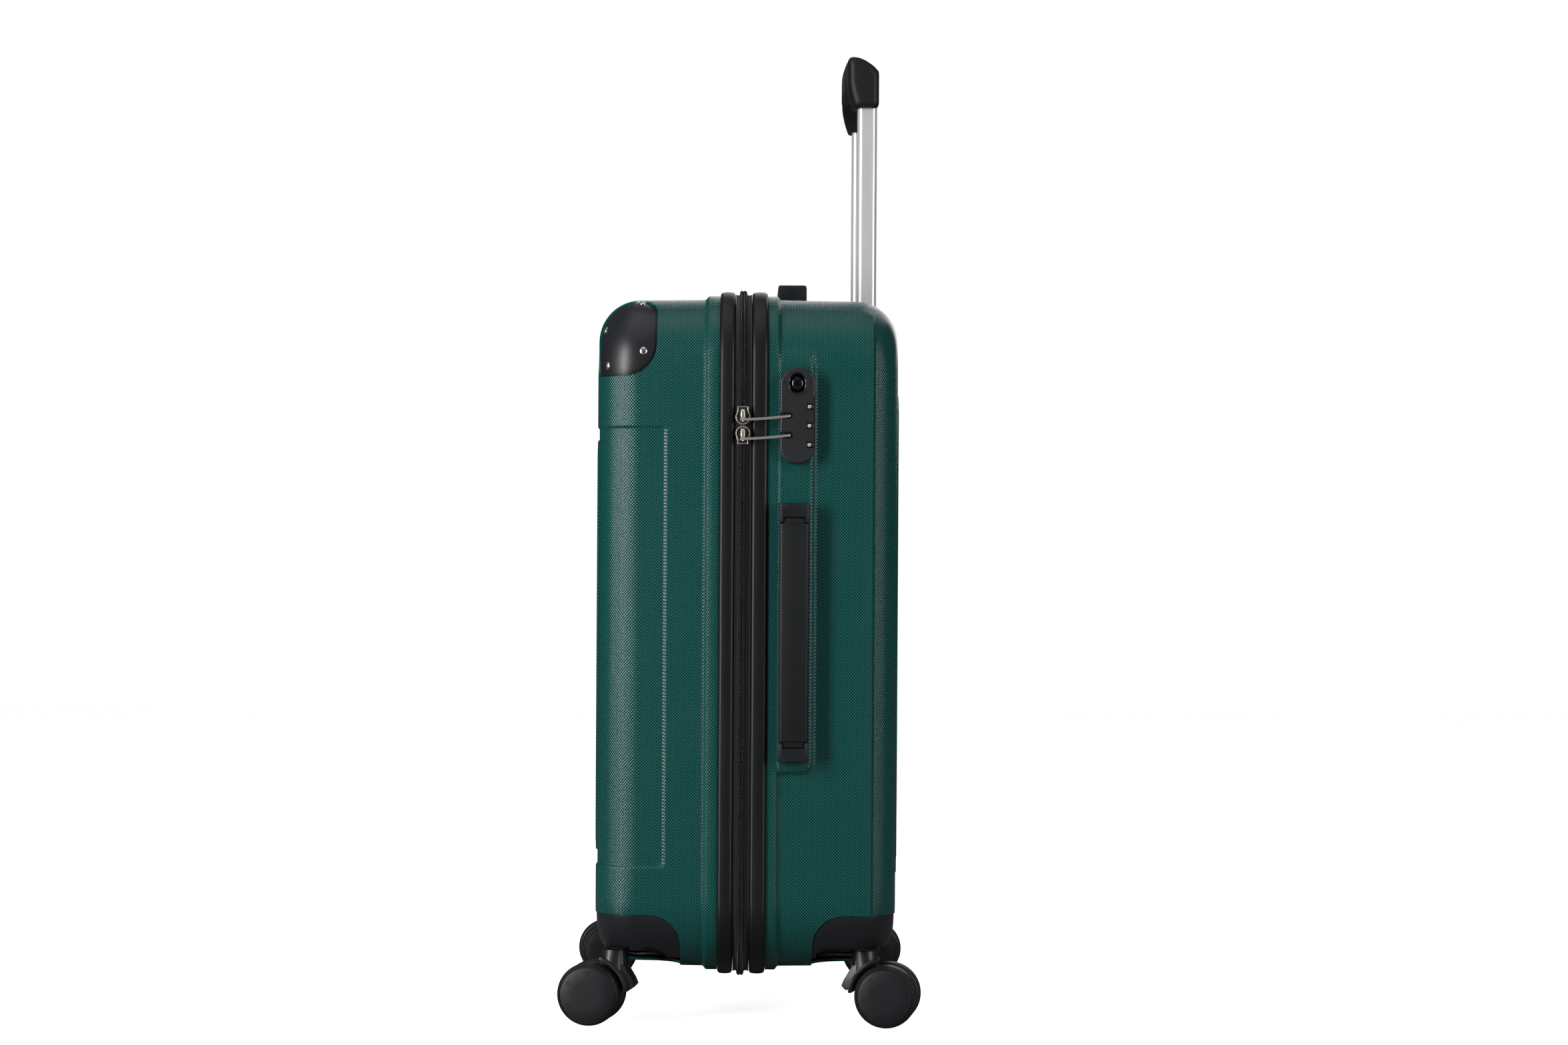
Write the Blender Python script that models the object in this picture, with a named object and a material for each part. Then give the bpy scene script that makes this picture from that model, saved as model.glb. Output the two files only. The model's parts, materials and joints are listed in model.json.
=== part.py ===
"""Hard shell suitcase on four twin-wheel casters, with a two-stage trolley handle.

Metres, +Z up, standing on z = 0. The front of the case faces -Y and the lock is on the +X side.
The parts are laid out about the middle of the shells, and an empty carries them all so that the
whole object's box is centred on the origin.
"""

import math

import bmesh
import bpy
from mathutils import Vector

GAP = 0.0003  # left between neighbours
CENTRE_SHIFT = -0.00565  # from the middle of the shells to the middle of the whole box, along X

# shells, seen from the front as one rounded rectangle
WIDTH = 0.430
SHELL_BOTTOM, SHELL_TOP = 0.049, 0.620
OUTLINE_R = 0.060
CORNER_STEPS = 8
FRONT_FACE, REAR_FACE = -0.1255, 0.1335
EDGE_R = 0.036  # where the sides turn into the front and rear faces
EDGE_STEPS = 4
WALL = 0.0025
RIM_PROUD = 0.0032  # the strip beside each band
RIM_RUN = 0.003
FRONT_EDGE, REAR_EDGE = -0.0198, 0.0213  # open ends of the shells
FRONT_RIM, REAR_RIM = -0.0290, 0.0300
FULL_SIDE = WIDTH / 2

# bands, zipper and hinge cloth
BAND_PROUD, BAND_INNER = 0.0067, -0.0020
FRONT_BAND, REAR_BAND = (-0.0195, -0.0067), (0.0075, 0.0210)
TAPE_PROUD, TAPE_INNER = 0.0030, -0.0005
COIL_PROUD, COIL_WIDE = 0.0081, 0.0031
COIL_END_X = -0.150
ZIP_CLEAR = 0.0002  # from the parting plane to each half of the zipper
HINGE_X = -(FULL_SIDE + BAND_PROUD + 0.0005)
GUSSET_Y, GUSSET_Z = 0.018, (0.110, 0.560)

# lock pad, lock and its pieces; the lock is a capsule on the +X side
PAD_PROUD = 0.0035
PAD_Y, PAD_Z = (0.0225, 0.0605), (0.216, 0.572)
PAD_FACE = FULL_SIDE + PAD_PROUD
LOCK_Y, LOCK_Z = (0.0310, 0.0605), (0.477, 0.558)
LOCK_FACE = 0.2270
BOSS_Y, BOSS_Z, BOSS_X = (0.0345, 0.0575), (0.4845, 0.5505), 0.2135
KEY_Y, KEY_Z, KEY_R = 0.0455, 0.5445, 0.0063
KEY_HOLE = (0.0071, 0.0093)
BUTTON_FLOOR, BUTTON_R = 0.2208, 0.0105
BUTTON_THICK = 0.0035
DIAL_X, DIAL_Y, DIAL_R, DIAL_TALL = 0.2221, 0.0548, 0.0045, 0.0046
WINDOW_Y = (0.0537, 0.0583)
DIAL_Z = (0.5250, 0.5090, 0.4930)
SLOT_Z = ((0.5147, 0.5203), (0.4984, 0.5040))
SLOT_END, SLOT_FLOOR = 0.0417, 0.2212

# sliders and pullers
SLIDER_X, SLIDER_R, SLIDER_THICK = FULL_SIDE + COIL_PROUD + GAP, 0.0062, 0.0015
SLIDERS = {"upper": (0.5160, 1, 0.5138), "lower": (0.5025, -1, 0.4976)}  # centre, tab side, puller
PULLER_X, PULLER_R, PULLER_THICK, PULLER_TIP = 0.2277, 0.0020, 0.0020, 0.0400
PULLER_SINK = 0.0042  # how far the bar drops towards the lock
PIN_R = 0.0008

# carrying handles
HANDLE_LONG, HANDLE_WIDE, HANDLE_CAP = 0.217, 0.0250, 0.017
STRAP_THICK, STRAP_LEG, STRAP_TONGUE = 0.0065, 0.0050, 0.018
SIDE_HANDLE_Z, SIDE_HANDLE_Y = 0.3357, 0.0435
SIDE_HANDLE_FACE = 0.2330
TOP_HANDLE_Y, TOP_HANDLE_TOP = 0.0426, 0.6380

# trolley handle: outer tubes stay in the case, middle and inner tubes telescope
TUBE_X, TUBE_Y = 0.075, 0.1083
TUBE_WALL = 0.0012
INNER_TUBE, MIDDLE_TUBE, OUTER_TUBE = (0.0200, 0.0170), (0.0234, 0.0204), (0.0268, 0.0238)
INNER_TUBE_Z, MIDDLE_TUBE_Z, OUTER_TUBE_Z = (0.521, 0.811), (0.251, 0.581), (0.078, 0.5775)
GRIP_HALF, GRIP_Y = 0.0930, (0.0909, 0.1182)
GRIP_TOP, GRIP_SLOPE = 0.842, 0.014
BAR_BOTTOM, LOBE_BOTTOM = 0.816, 0.796
GRIP_BUTTON = (0.018, 0.0065)  # half sizes along X and Y
TRAY_X, TRAY_Y, TRAY_Z = 0.0985, (0.0838, 0.1248), 0.578
TRAY_WALL, TRAY_PROUD = 0.003, 0.0015
BRACKET_X, BRACKET_Y, BRACKET_Z = 0.0950, (0.0935, 0.1232), (0.0655, 0.0880)

# linings
LINING_OUT, LINING_WALL = -0.0030, 0.0015
LINING_FACES = {"front": -0.1222, "rear": 0.0800}
LINING_R = {"front": 0.0325, "rear": 0.0200}

# corner protectors
GUARD_IN = (0.145, 0.073, 0.551)  # where it stops on the front, the side and both
GUARD_R, GUARD_OUT = 0.027, 0.0025

# casters
STEM_X, STEM_Y, TRAIL = 0.170, 0.1065, 0.020
HOUSING_IN = {"front": (0.128, 0.0513, 0.097), "rear": (0.128, 0.0613, 0.097)}
HOUSING_R, HOUSING_GROW = 0.026, -0.0015
SKIRT_Z, RECESS_R, RECESS_Z = 0.0585, 0.0475, 0.0645
WHEEL_R, WHEEL_WIDE, WHEEL_NEAR, WHEEL_FACE_R = 0.027, 0.0185, 0.0048, 0.0243
WHEEL_SIDES = 24  # the wheels stand on one of their flats
AXLE_Z = WHEEL_R * math.cos(math.pi / WHEEL_SIDES)
AXLE_R, BORE_R, AXLE_HALF = 0.0026, 0.0029, 0.0175
STEM_R, STEM_TOP, PIVOT_R, PIVOT_TOP = 0.0115, 0.0642, 0.0035, 0.0800
CASTERS = {  # end of the case, side, yaw in degrees
    "front_right": ("front", 1, -9.0),
    "front_left": ("front", -1, 7.0),
    "rear_right": ("rear", 1, -9.0),
    "rear_left": ("rear", -1, -7.0),
}

FINISHES = {  # colour, roughness, metallic
    "green_shell": ((0.004, 0.080, 0.067), 0.32, 0.0),
    "band_rubber": ((0.018, 0.018, 0.020), 0.50, 0.0),
    "zip_tape": ((0.008, 0.008, 0.009), 0.85, 0.0),
    "zip_coil": ((0.012, 0.012, 0.013), 0.35, 0.0),
    "nickel": ((0.60, 0.57, 0.53), 0.22, 1.0),
    "black_plastic": ((0.016, 0.016, 0.018), 0.45, 0.0),
    "gloss_black": ((0.010, 0.010, 0.012), 0.12, 0.0),
    "soft_grip": ((0.022, 0.022, 0.025), 0.60, 0.0),
    "aluminium_tube": ((0.72, 0.72, 0.73), 0.30, 1.0),
    "steel_axle": ((0.50, 0.50, 0.52), 0.35, 1.0),
    "lining_cloth": ((0.045, 0.047, 0.050), 0.90, 0.0),
    "wheel_black": ((0.014, 0.014, 0.015), 0.55, 0.0),
}


def clear_scene():
    for old in list(bpy.data.objects):
        bpy.data.objects.remove(old, do_unlink=True)


def finish(name):
    found = bpy.data.materials.get(name)
    if found:
        return found
    colour, roughness, metallic = FINISHES[name]
    material = bpy.data.materials.new(name)
    material.use_nodes = True
    shader = material.node_tree.nodes["Principled BSDF"]
    shader.inputs["Base Color"].default_value = (*colour, 1.0)
    shader.inputs["Roughness"].default_value = roughness
    shader.inputs["Metallic"].default_value = metallic
    return material


def link(name, bm, surface, parent=None, origin=(0, 0, 0)):
    """Make an object of a bmesh drawn in case coordinates, with its own origin at origin."""
    bmesh.ops.remove_doubles(bm, verts=bm.verts, dist=1e-6)
    bmesh.ops.recalc_face_normals(bm, faces=bm.faces)
    bmesh.ops.translate(bm, verts=bm.verts, vec=-Vector(origin))
    mesh = bpy.data.meshes.new(name)
    bm.to_mesh(mesh)
    bm.free()
    if surface:
        mesh.materials.append(finish(surface))
        mesh.shade_smooth()
        mesh.set_sharp_from_angle(angle=math.radians(35))
    piece = bpy.data.objects.new(name, mesh)
    bpy.context.collection.objects.link(piece)
    piece.location = origin
    if parent:
        piece.parent = parent
        piece.location = Vector(origin) - parent_place(parent)
    return piece


def parent_place(empty):
    return Vector(empty["place"])


def axis_empty(name, place, turn=0.0):
    """An empty on a joint's axis. Its pieces are drawn in case coordinates when turn is 0."""
    empty = bpy.data.objects.new(name, None)
    bpy.context.collection.objects.link(empty)
    empty.location = place
    empty.rotation_euler.z = turn
    empty["place"] = place if turn == 0.0 else (0.0, 0.0, 0.0)
    return empty


def guide(name, bm):
    """A cutter: drawn as wire and left out of the model."""
    piece = link(name, bm, None)
    piece.hide_render = True
    piece.display_type = "WIRE"
    return piece


def boolean(piece, operation, other):
    modifier = piece.modifiers.new(f"{operation.lower()}_{other.name}", "BOOLEAN")
    modifier.operation = operation
    modifier.solver = "EXACT"
    modifier.object = other


def carry_with(piece, parent):
    """Let a cutter follow the piece's parent."""
    piece.parent = parent
    piece.location = Vector(piece.location) - parent_place(parent)


# shapes


def loft(rings, ring_closed=True, ends=True):
    """Join rings of equally many points. A ring that isn't closed is a strip's section."""
    bm = bmesh.new()
    loops = [[bm.verts.new(p) for p in ring] for ring in rings]
    count = len(loops[0])
    for a, b in zip(loops, loops[1:] if ends else loops[1:] + loops[:1]):
        for i in range(count if ring_closed else count - 1):
            j = (i + 1) % count
            bm.faces.new((a[i], a[j], b[j], b[i]))
    if ends:
        bm.faces.new(loops[0])
        bm.faces.new(loops[-1])
    return bm


def box(low, high):
    bm = bmesh.new()
    bmesh.ops.create_cube(bm, size=1.0)
    for v in bm.verts:
        v.co = Vector([lo if c < 0 else hi for c, lo, hi in zip(v.co, low, high)])
    return bm


def prism(points, axis, low, high):
    """Extrude an outline along an axis. points are pairs of the two other axes, in X, Y, Z order."""
    rings = []
    for level in (low, high):
        ring = []
        for a, b in points:
            place = [a, b]
            place.insert("XYZ".index(axis), level)
            ring.append(place)
        rings.append(ring)
    return loft(rings)


def arc(centre, radius, start, stop, steps):
    turns = [math.radians(start + (stop - start) * i / steps) for i in range(steps + 1)]
    return [(centre[0] + radius * math.cos(t), centre[1] + radius * math.sin(t)) for t in turns]


def cylinder(axis, centre, radius, low, high, segments=16):
    """centre is a pair of the two axes across the cylinder, in X, Y, Z order."""
    return prism(arc(centre, radius, 0, 360, segments)[:-1], axis, low, high)


def rounded_rectangle(centre, half, radius, steps=3):
    points = []
    for sx, sy, start in ((1, 1, 0), (-1, 1, 90), (-1, -1, 180), (1, -1, 270)):
        corner = (centre[0] + sx * (half[0] - radius), centre[1] + sy * (half[1] - radius))
        points += arc(corner, radius, start, start + 90, steps)
    return points


def turned(profile, sides):
    """Spin a closed profile of (radius, along) pairs about X, with a flat facing down."""
    bm = bmesh.new()
    start = math.pi / sides
    ring = [bm.verts.new((along, radius * math.cos(start), radius * math.sin(start)))
            for radius, along in profile]
    edges = [bm.edges.new(pair) for pair in zip(ring, ring[1:])]
    bmesh.ops.spin(
        bm, geom=ring + edges, cent=(0, 0, 0), axis=(1, 0, 0), angle=math.tau, steps=sides
    )
    bmesh.ops.remove_doubles(bm, verts=bm.verts, dist=1e-6)
    return bm


def case_outline(grow, y):
    """The case seen from the front, grown outwards, at one depth."""
    half = FULL_SIDE - OUTLINE_R
    low, high = SHELL_BOTTOM + OUTLINE_R, SHELL_TOP - OUTLINE_R
    points = []
    for x, z, start in ((half, high, 0), (-half, high, 90), (-half, low, 180), (half, low, 270)):
        quarter = arc((x, z), OUTLINE_R + grow, start, start + 90, CORNER_STEPS)
        points += [(a, y, b) for a, b in quarter]
    return points


def rounded_edge(face, towards, radius, inset=0.0):
    """(grow, y) pairs from the flat face round to the side. towards is -1 at the front."""
    pairs = []
    for i in range(EDGE_STEPS + 1):
        turn = math.radians(90 * i / EDGE_STEPS)
        grow = -inset - (radius - inset) * (1 - math.sin(turn))
        pairs.append((grow, face - towards * (inset + (radius - inset) * (1 - math.cos(turn)))))
    return pairs


def case_form(towards, grow):
    """A solid half of the case, grown, to intersect corner pieces with."""
    face = FRONT_FACE if towards < 0 else REAR_FACE
    pairs = [(g + grow, y + towards * grow) for g, y in rounded_edge(face, towards, EDGE_R)]
    pairs.append((grow, 0.0))
    return loft([case_outline(g, y) for g, y in pairs])


def ring_of(sections):
    """A closed hoop round the case: sections are (grow, y) pairs round its cross-section."""
    return loft([case_outline(g, y) for g, y in sections], ends=False)


def corner_block(side, towards, inner, up, radius, slack=0.0):
    """A block on one corner of the case, with its three inner edges rounded."""
    x, y, z = inner[0] - slack, inner[1] - slack, inner[2] - up * slack
    far_x, far_y, far_z = 0.260, 0.180, 0.700 if up > 0 else 0.010
    bm = box(
        (min(side * x, side * far_x), min(towards * y, towards * far_y), min(z, far_z)),
        (max(side * x, side * far_x), max(towards * y, towards * far_y), max(z, far_z)),
    )
    planes = ((0, side * x), (1, towards * y), (2, z))
    edges = []
    for edge in bm.edges:
        on = sum(all(abs(v.co[i] - at) < 1e-7 for v in edge.verts) for i, at in planes)
        if on == 2:
            edges.append(edge)
    bmesh.ops.bevel(bm, geom=edges, offset=radius, segments=4, profile=0.5, affect="EDGES")
    return bm


# shells, bands, zipper


def shell(end, parent):
    towards = -1 if end == "front" else 1
    face, edge, rim = {
        "front": (FRONT_FACE, FRONT_EDGE, FRONT_RIM),
        "rear": (REAR_FACE, REAR_EDGE, REAR_RIM),
    }[end]
    outer = rounded_edge(face, towards, EDGE_R)
    outer += [(0.0, rim + towards * RIM_RUN), (RIM_PROUD, rim), (RIM_PROUD, edge)]
    inner = [(RIM_PROUD - WALL, edge), (RIM_PROUD - WALL, rim), (-WALL, rim + towards * RIM_RUN)]
    inner += reversed(rounded_edge(face, towards, EDGE_R, WALL))
    rings = [case_outline(grow, y) for grow, y in outer + inner]
    piece = link(f"{end}_shell", loft(rings), "green_shell", parent)
    if end == "rear":
        boolean(piece, "UNION", guide("cut_pad", lock_pad()))
        hole = [(a - GAP, b + GAP) for a, b in (BOSS_Y, BOSS_Z)]
        cut = box((0.205, hole[0][0], hole[1][0]), (0.235, hole[0][1], hole[1][1]))
        boolean(piece, "DIFFERENCE", guide("cut_lock_hole", cut))
        cut = box((-TRAY_X - GAP, TRAY_Y[0] - GAP, TRAY_Z - GAP),
                  (TRAY_X + GAP, TRAY_Y[1] + GAP, 0.700))
        boolean(piece, "DIFFERENCE", guide("cut_tray_hole", cut))
    for side in (1, -1):
        block = corner_block(side, towards, HOUSING_IN[end], -1, HOUSING_R, slack=GAP)
        name = f"cut_{end}_notch_{'right' if side > 0 else 'left'}"
        boolean(piece, "DIFFERENCE", guide(name, block))
    return piece


def lock_pad():
    """The raised pad that carries the lock and the side handle."""
    y0, y1 = PAD_Y
    z0, z1 = PAD_Z
    radius = 0.014
    points = [(y0, z0), *arc((y1 - radius, z0 + radius), radius, -90, 0, 4)]
    points += [*arc((y1 - radius, z1 - radius), radius, 0, 90, 4), (y0, z1)]
    return prism(points, "X", FULL_SIDE - WALL / 2, PAD_FACE)


def band(end, parent):
    """Convex piping that hides the joint between shell and zipper."""
    y0, y1 = FRONT_BAND if end == "front" else REAR_BAND
    shoulder = BAND_PROUD - 0.0028
    sections = [(BAND_INNER, y0), (shoulder, y0)]
    for share, rise in ((0.06, 0.62), (0.20, 0.90), (0.50, 1.0), (0.80, 0.90), (0.94, 0.62)):
        sections.append((shoulder + (BAND_PROUD - shoulder) * rise, y0 + (y1 - y0) * share))
    sections += [(shoulder, y1), (BAND_INNER, y1)]
    return link(f"{end}_band", ring_of(sections), "band_rubber", parent)


def zipper_tape(end, parent):
    far = FRONT_BAND[1] + GAP if end == "front" else REAR_BAND[0] - GAP
    near = math.copysign(ZIP_CLEAR, far)
    sections = [(TAPE_INNER, near), (TAPE_PROUD, near), (TAPE_PROUD, far), (TAPE_INNER, far)]
    return link(f"{end}_zip_tape", ring_of(sections), "zip_tape", parent)


def zipper_coil(end, parent):
    """The row of teeth, from one hinge-side corner over the top and down to the other."""
    sign = -1 if end == "front" else 1
    near, far = sign * ZIP_CLEAR, sign * COIL_WIDE
    low = TAPE_PROUD + GAP
    pairs = ((low, near), (COIL_PROUD - 0.0008, near), (COIL_PROUD, sign * 0.0011),
             (COIL_PROUD - 0.0012, far), (low, far))
    lines = []
    for grow, y in pairs:
        line = case_outline(grow, y)
        half = len(line) // 2
        upper, lower = line[: half - CORNER_STEPS - 1], line[half + CORNER_STEPS + 1 :]
        top_end = (COIL_END_X, y, SHELL_TOP + grow)
        bottom_end = (COIL_END_X, y, SHELL_BOTTOM - grow)
        lines.append([bottom_end, *lower, *upper, top_end])
    return link(f"{end}_zip_coil", loft(list(zip(*lines))), "zip_coil", parent)


def hinge_gusset():
    """The cloth strip inside the bands on the -X side that the two halves fold about."""
    x = -FULL_SIDE + 0.0035
    bm = box((x, -GUSSET_Y, GUSSET_Z[0]), (x + 0.0010, GUSSET_Y, GUSSET_Z[1]))
    return link("hinge_gusset", bm, "lining_cloth")


def lining(end, parent):
    towards = -1 if end == "front" else 1
    face, radius = LINING_FACES[end], LINING_R[end]
    edge = FRONT_EDGE if end == "front" else REAR_EDGE
    outer = rounded_edge(face, towards, radius) + [(0.0, edge)]
    inner = rounded_edge(face, towards, radius, LINING_WALL) + [(-LINING_WALL, edge)]
    pairs = outer + inner[::-1]
    rings = [case_outline(grow + LINING_OUT, y) for grow, y in pairs]
    piece = link(f"{end}_lining", loft(rings), "lining_cloth", parent)
    for side in (1, -1):
        block = corner_block(side, towards, HOUSING_IN[end], -1, HOUSING_R, slack=0.0012)
        name = f"cut_{end}_lining_{'right' if side > 0 else 'left'}"
        boolean(piece, "DIFFERENCE", guide(name, block))
    return piece


def corner_guard(side, parent):
    name = f"corner_guard_{'right' if side > 0 else 'left'}"
    block = corner_block(side, -1, GUARD_IN, 1, GUARD_R)
    piece = link(name, block, "black_plastic", parent)
    boolean(piece, "INTERSECT", bpy.data.objects["form_guard"])
    boolean(piece, "DIFFERENCE", bpy.data.objects["form_front"])
    return piece


# lock


def capsule(slack=0.0):
    half = (LOCK_Y[1] - LOCK_Y[0]) / 2 - slack
    middle = (LOCK_Y[0] + LOCK_Y[1]) / 2
    top = arc((middle, LOCK_Z[1] - slack - half), half, 0, 180, 14)
    return top + arc((middle, LOCK_Z[0] + slack + half), half, 180, 360, 14)


def button_outline(slack=0.0):
    """The U that the release button fills, running out over the lock's top end."""
    radius = BUTTON_R + slack
    points = arc((KEY_Y, KEY_Z), radius, 180, 360, 10)
    points += [(KEY_Y + 0.0120 + slack, 0.5515), (KEY_Y + 0.0165 + slack, 0.565)]
    points += [(KEY_Y - 0.0165 - slack, 0.565), (KEY_Y - 0.0120 - slack, 0.5515)]
    return points


def lock_body():
    piece = link("lock_body", prism(capsule(), "X", PAD_FACE + GAP, LOCK_FACE), "black_plastic")
    boss = box((BOSS_X, BOSS_Y[0], BOSS_Z[0]), (PAD_FACE + 0.002, BOSS_Y[1], BOSS_Z[1]))
    boolean(piece, "UNION", guide("cut_boss", boss))
    cut = prism(button_outline(GAP), "X", BUTTON_FLOOR, 0.240)
    boolean(piece, "DIFFERENCE", guide("cut_button", cut))
    cut = box((0.2225, LOCK_Y[1] - 0.0013, 0.482), (0.240, 0.070, 0.534))
    boolean(piece, "DIFFERENCE", guide("cut_dial_strip", cut))
    for number, z in enumerate(DIAL_Z, 1):
        low, high = z - DIAL_TALL / 2 - GAP, z + DIAL_TALL / 2 + GAP
        pocket = cylinder("Z", (DIAL_X, DIAL_Y), DIAL_R + GAP, low, high, 20)
        boolean(piece, "DIFFERENCE", guide(f"cut_dial_{number}", pocket))
        window = box((DIAL_X + 0.001, WINDOW_Y[0], low), (0.240, WINDOW_Y[1], high))
        boolean(piece, "DIFFERENCE", guide(f"cut_window_{number}", window))
    for number, (low, high) in enumerate(SLOT_Z, 1):
        radius = (high - low) / 2
        points = [(0.020, low), *arc((SLOT_END - radius, low + radius), radius, -90, 90, 6)]
        slot = prism(points + [(0.020, high)], "X", SLOT_FLOOR, 0.240)
        boolean(piece, "DIFFERENCE", guide(f"cut_slot_{number}", slot))
    return piece


def lock_button():
    top = LOCK_FACE - 0.0002
    bm = prism(capsule(), "X", top - BUTTON_THICK, top)
    piece = link("lock_button", bm, "black_plastic", origin=(top, KEY_Y, KEY_Z))
    cut = prism(button_outline(), "X", 0.215, 0.240)
    boolean(piece, "INTERSECT", guide("keep_button", cut))
    oval = [(KEY_Y + KEY_HOLE[0] * math.cos(t), KEY_Z + KEY_HOLE[1] * math.sin(t))
            for t in (math.tau * i / 24 for i in range(24))]
    boolean(piece, "DIFFERENCE", guide("cut_key_hole", prism(oval, "X", 0.215, 0.240)))
    return piece


def key_cylinder():
    low, high = BUTTON_FLOOR + GAP, LOCK_FACE - 0.0009
    bm = cylinder("X", (KEY_Y, KEY_Z), KEY_R, low, high, 24)
    piece = link("key_cylinder", bm, "gloss_black", origin=(low, KEY_Y, KEY_Z))
    keyway = box((high - 0.0022, KEY_Y - 0.0006, KEY_Z - 0.0042),
                 (0.240, KEY_Y + 0.0006, KEY_Z + 0.0042))
    boolean(piece, "DIFFERENCE", guide("cut_keyway", keyway))
    return piece


def dial(number, z):
    """One number wheel, ten flats, turning about Z behind its window."""
    half = DIAL_TALL / 2
    bm = cylinder("Z", (DIAL_X, DIAL_Y), DIAL_R, z - half, z + half, 20)
    return link(f"lock_dial_{number}", bm, "gloss_black", origin=(DIAL_X, DIAL_Y, z))


def slider(name, z, tab, puller_z):
    """Outer plate, bridge and the pin that the puller turns on."""
    plate = arc((0.0, z), SLIDER_R, -200, 20, 10) if tab > 0 else arc((0.0, z), SLIDER_R, -20, 200, 10)
    end = z + tab * 0.0090
    shoulder = z + tab * 0.0048
    tip = [(0.0045, shoulder), (0.0045, end), (-0.0045, end), (-0.0045, shoulder)]
    plate += tip if tab > 0 else tip[::-1]
    low, high = SLIDER_X, SLIDER_X + SLIDER_THICK
    piece = link(f"slider_{name}", prism(plate, "X", low, high), "nickel")
    top = puller_z + PULLER_THICK / 2 + GAP
    bridge = box((high - 0.0008, -0.0017, top), (PULLER_X + 0.0016, 0.0017, top + 0.0070))
    boolean(piece, "UNION", guide(f"cut_bridge_{name}", bridge))
    pin = cylinder("Z", (PULLER_X, 0.0), PIN_R, puller_z - 0.0016, top + 0.002, 10)
    boolean(piece, "UNION", guide(f"cut_pin_{name}", pin))
    return piece


def puller(name, z):
    """A flat bar on the slider's pin. Its tip lies in the lock's slot."""
    stations = 7
    rings = []
    for i in range(stations):
        share = i / (stations - 1)
        y = -PULLER_R + (PULLER_TIP + PULLER_R) * share
        rise = z + 0.0034 * share**1.6
        drop = PULLER_SINK * share**1.5
        low, high = PULLER_X - PULLER_R + 0.0002 - drop, PULLER_X + PULLER_R - drop
        half = PULLER_THICK / 2
        rings.append([(low, y, rise - half), (high, y, rise - half),
                      (high, y, rise + half), (low, y, rise + half)])
    piece = link(f"puller_{name}", loft(rings), "nickel", origin=(PULLER_X, 0.0, z))
    eye = cylinder("Z", (PULLER_X, 0.0), PIN_R + 0.0004, z - 0.004, z + 0.004, 10)
    boolean(piece, "DIFFERENCE", guide(f"cut_eye_{name}", eye))
    return piece


# carrying handles, drawn lying along Z on a face at x = 0 and then placed


def handle_cap(name, place, sign, height):
    """The fixed end of a handle, with a channel that the strap's tongue slides in."""
    inner = sign * (HANDLE_LONG / 2 - HANDLE_CAP)
    outer = sign * HANDLE_LONG / 2
    half = HANDLE_WIDE / 2
    z0, z1 = sorted((inner, outer))
    bm = box((0.0, -half, z0), (height, half, z1))
    shape = [e for e in bm.edges if all(v.co.x > height / 2 for v in e.verts)]
    bmesh.ops.bevel(bm, geom=shape, offset=0.003, segments=2, profile=0.6, affect="EDGES")
    channel = inner + sign * (STRAP_LEG + GAP)
    c0, c1 = sorted((inner - sign * 0.002, channel))
    width = STRAP_TONGUE / 2 + GAP
    cut = box((0.0008, -width, c0), (height + 0.005, width, c1))
    return place(name, bm, cut)


def strap(name, place, height):
    """The grip and its two tongues."""
    half_long = HANDLE_LONG / 2 - HANDLE_CAP - GAP
    half = HANDLE_WIDE / 2
    bar = rounded_rectangle((height - 0.0004 - STRAP_THICK / 2, 0.0), (STRAP_THICK / 2, half), 0.0028)
    bm = prism(bar, "Z", -half_long, half_long)
    low, high = 0.0014, height - 0.0016
    half_leg = STRAP_TONGUE / 2
    legs = [
        box((low, -half_leg, z0), (high, half_leg, z1))
        for z0, z1 in (
            (-half_long - STRAP_LEG, -half_long + 0.004),
            (half_long - 0.004, half_long + STRAP_LEG),
        )
    ]
    return place(name, bm, *legs)


def on_side(bm):
    """From the handle's own axes to the +X side of the case."""
    bmesh.ops.translate(bm, verts=bm.verts, vec=(PAD_FACE + GAP, SIDE_HANDLE_Y, SIDE_HANDLE_Z))
    return bm


def on_top(bm):
    """From the handle's own axes to the top of the case: X up becomes Z, Z along becomes X."""
    for v in bm.verts:
        v.co = Vector((v.co.z, v.co.y + TOP_HANDLE_Y, v.co.x + SHELL_TOP + GAP))
    bmesh.ops.reverse_faces(bm, faces=bm.faces)
    return bm


def handle(kind):
    """Two caps and the strap of the side or the top handle."""
    height = {"side": SIDE_HANDLE_FACE - PAD_FACE, "top": TOP_HANDLE_TOP - SHELL_TOP}[kind] - GAP
    lay = {"side": on_side, "top": on_top}[kind]

    def place(name, bm, cut):
        piece = link(name, lay(bm), "black_plastic")
        boolean(piece, "DIFFERENCE", guide(f"cut_{name}", lay(cut)))
        if kind == "top":  # its front edge straddles the step of the rim
            step = box((-0.200, 0.0, 0.600),
                       (0.200, REAR_RIM + RIM_RUN + GAP, SHELL_TOP + RIM_PROUD + GAP))
            boolean(piece, "DIFFERENCE", guide(f"cut_rim_{name}", step))
        return piece

    def place_strap(name, bm, *legs):
        piece = link(name, lay(bm), "soft_grip")
        for number, leg in enumerate(legs, 1):
            boolean(piece, "UNION", guide(f"leg_{name}_{number}", lay(leg)))
        return piece

    names = {"side": ("lower", "upper"), "top": ("left", "right")}[kind]
    for sign, label in zip((-1, 1), names):
        handle_cap(f"{kind}_handle_cap_{label}", place, sign, height)
    strap(f"{kind}_handle_strap", place_strap, height)


# trolley handle


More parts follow.
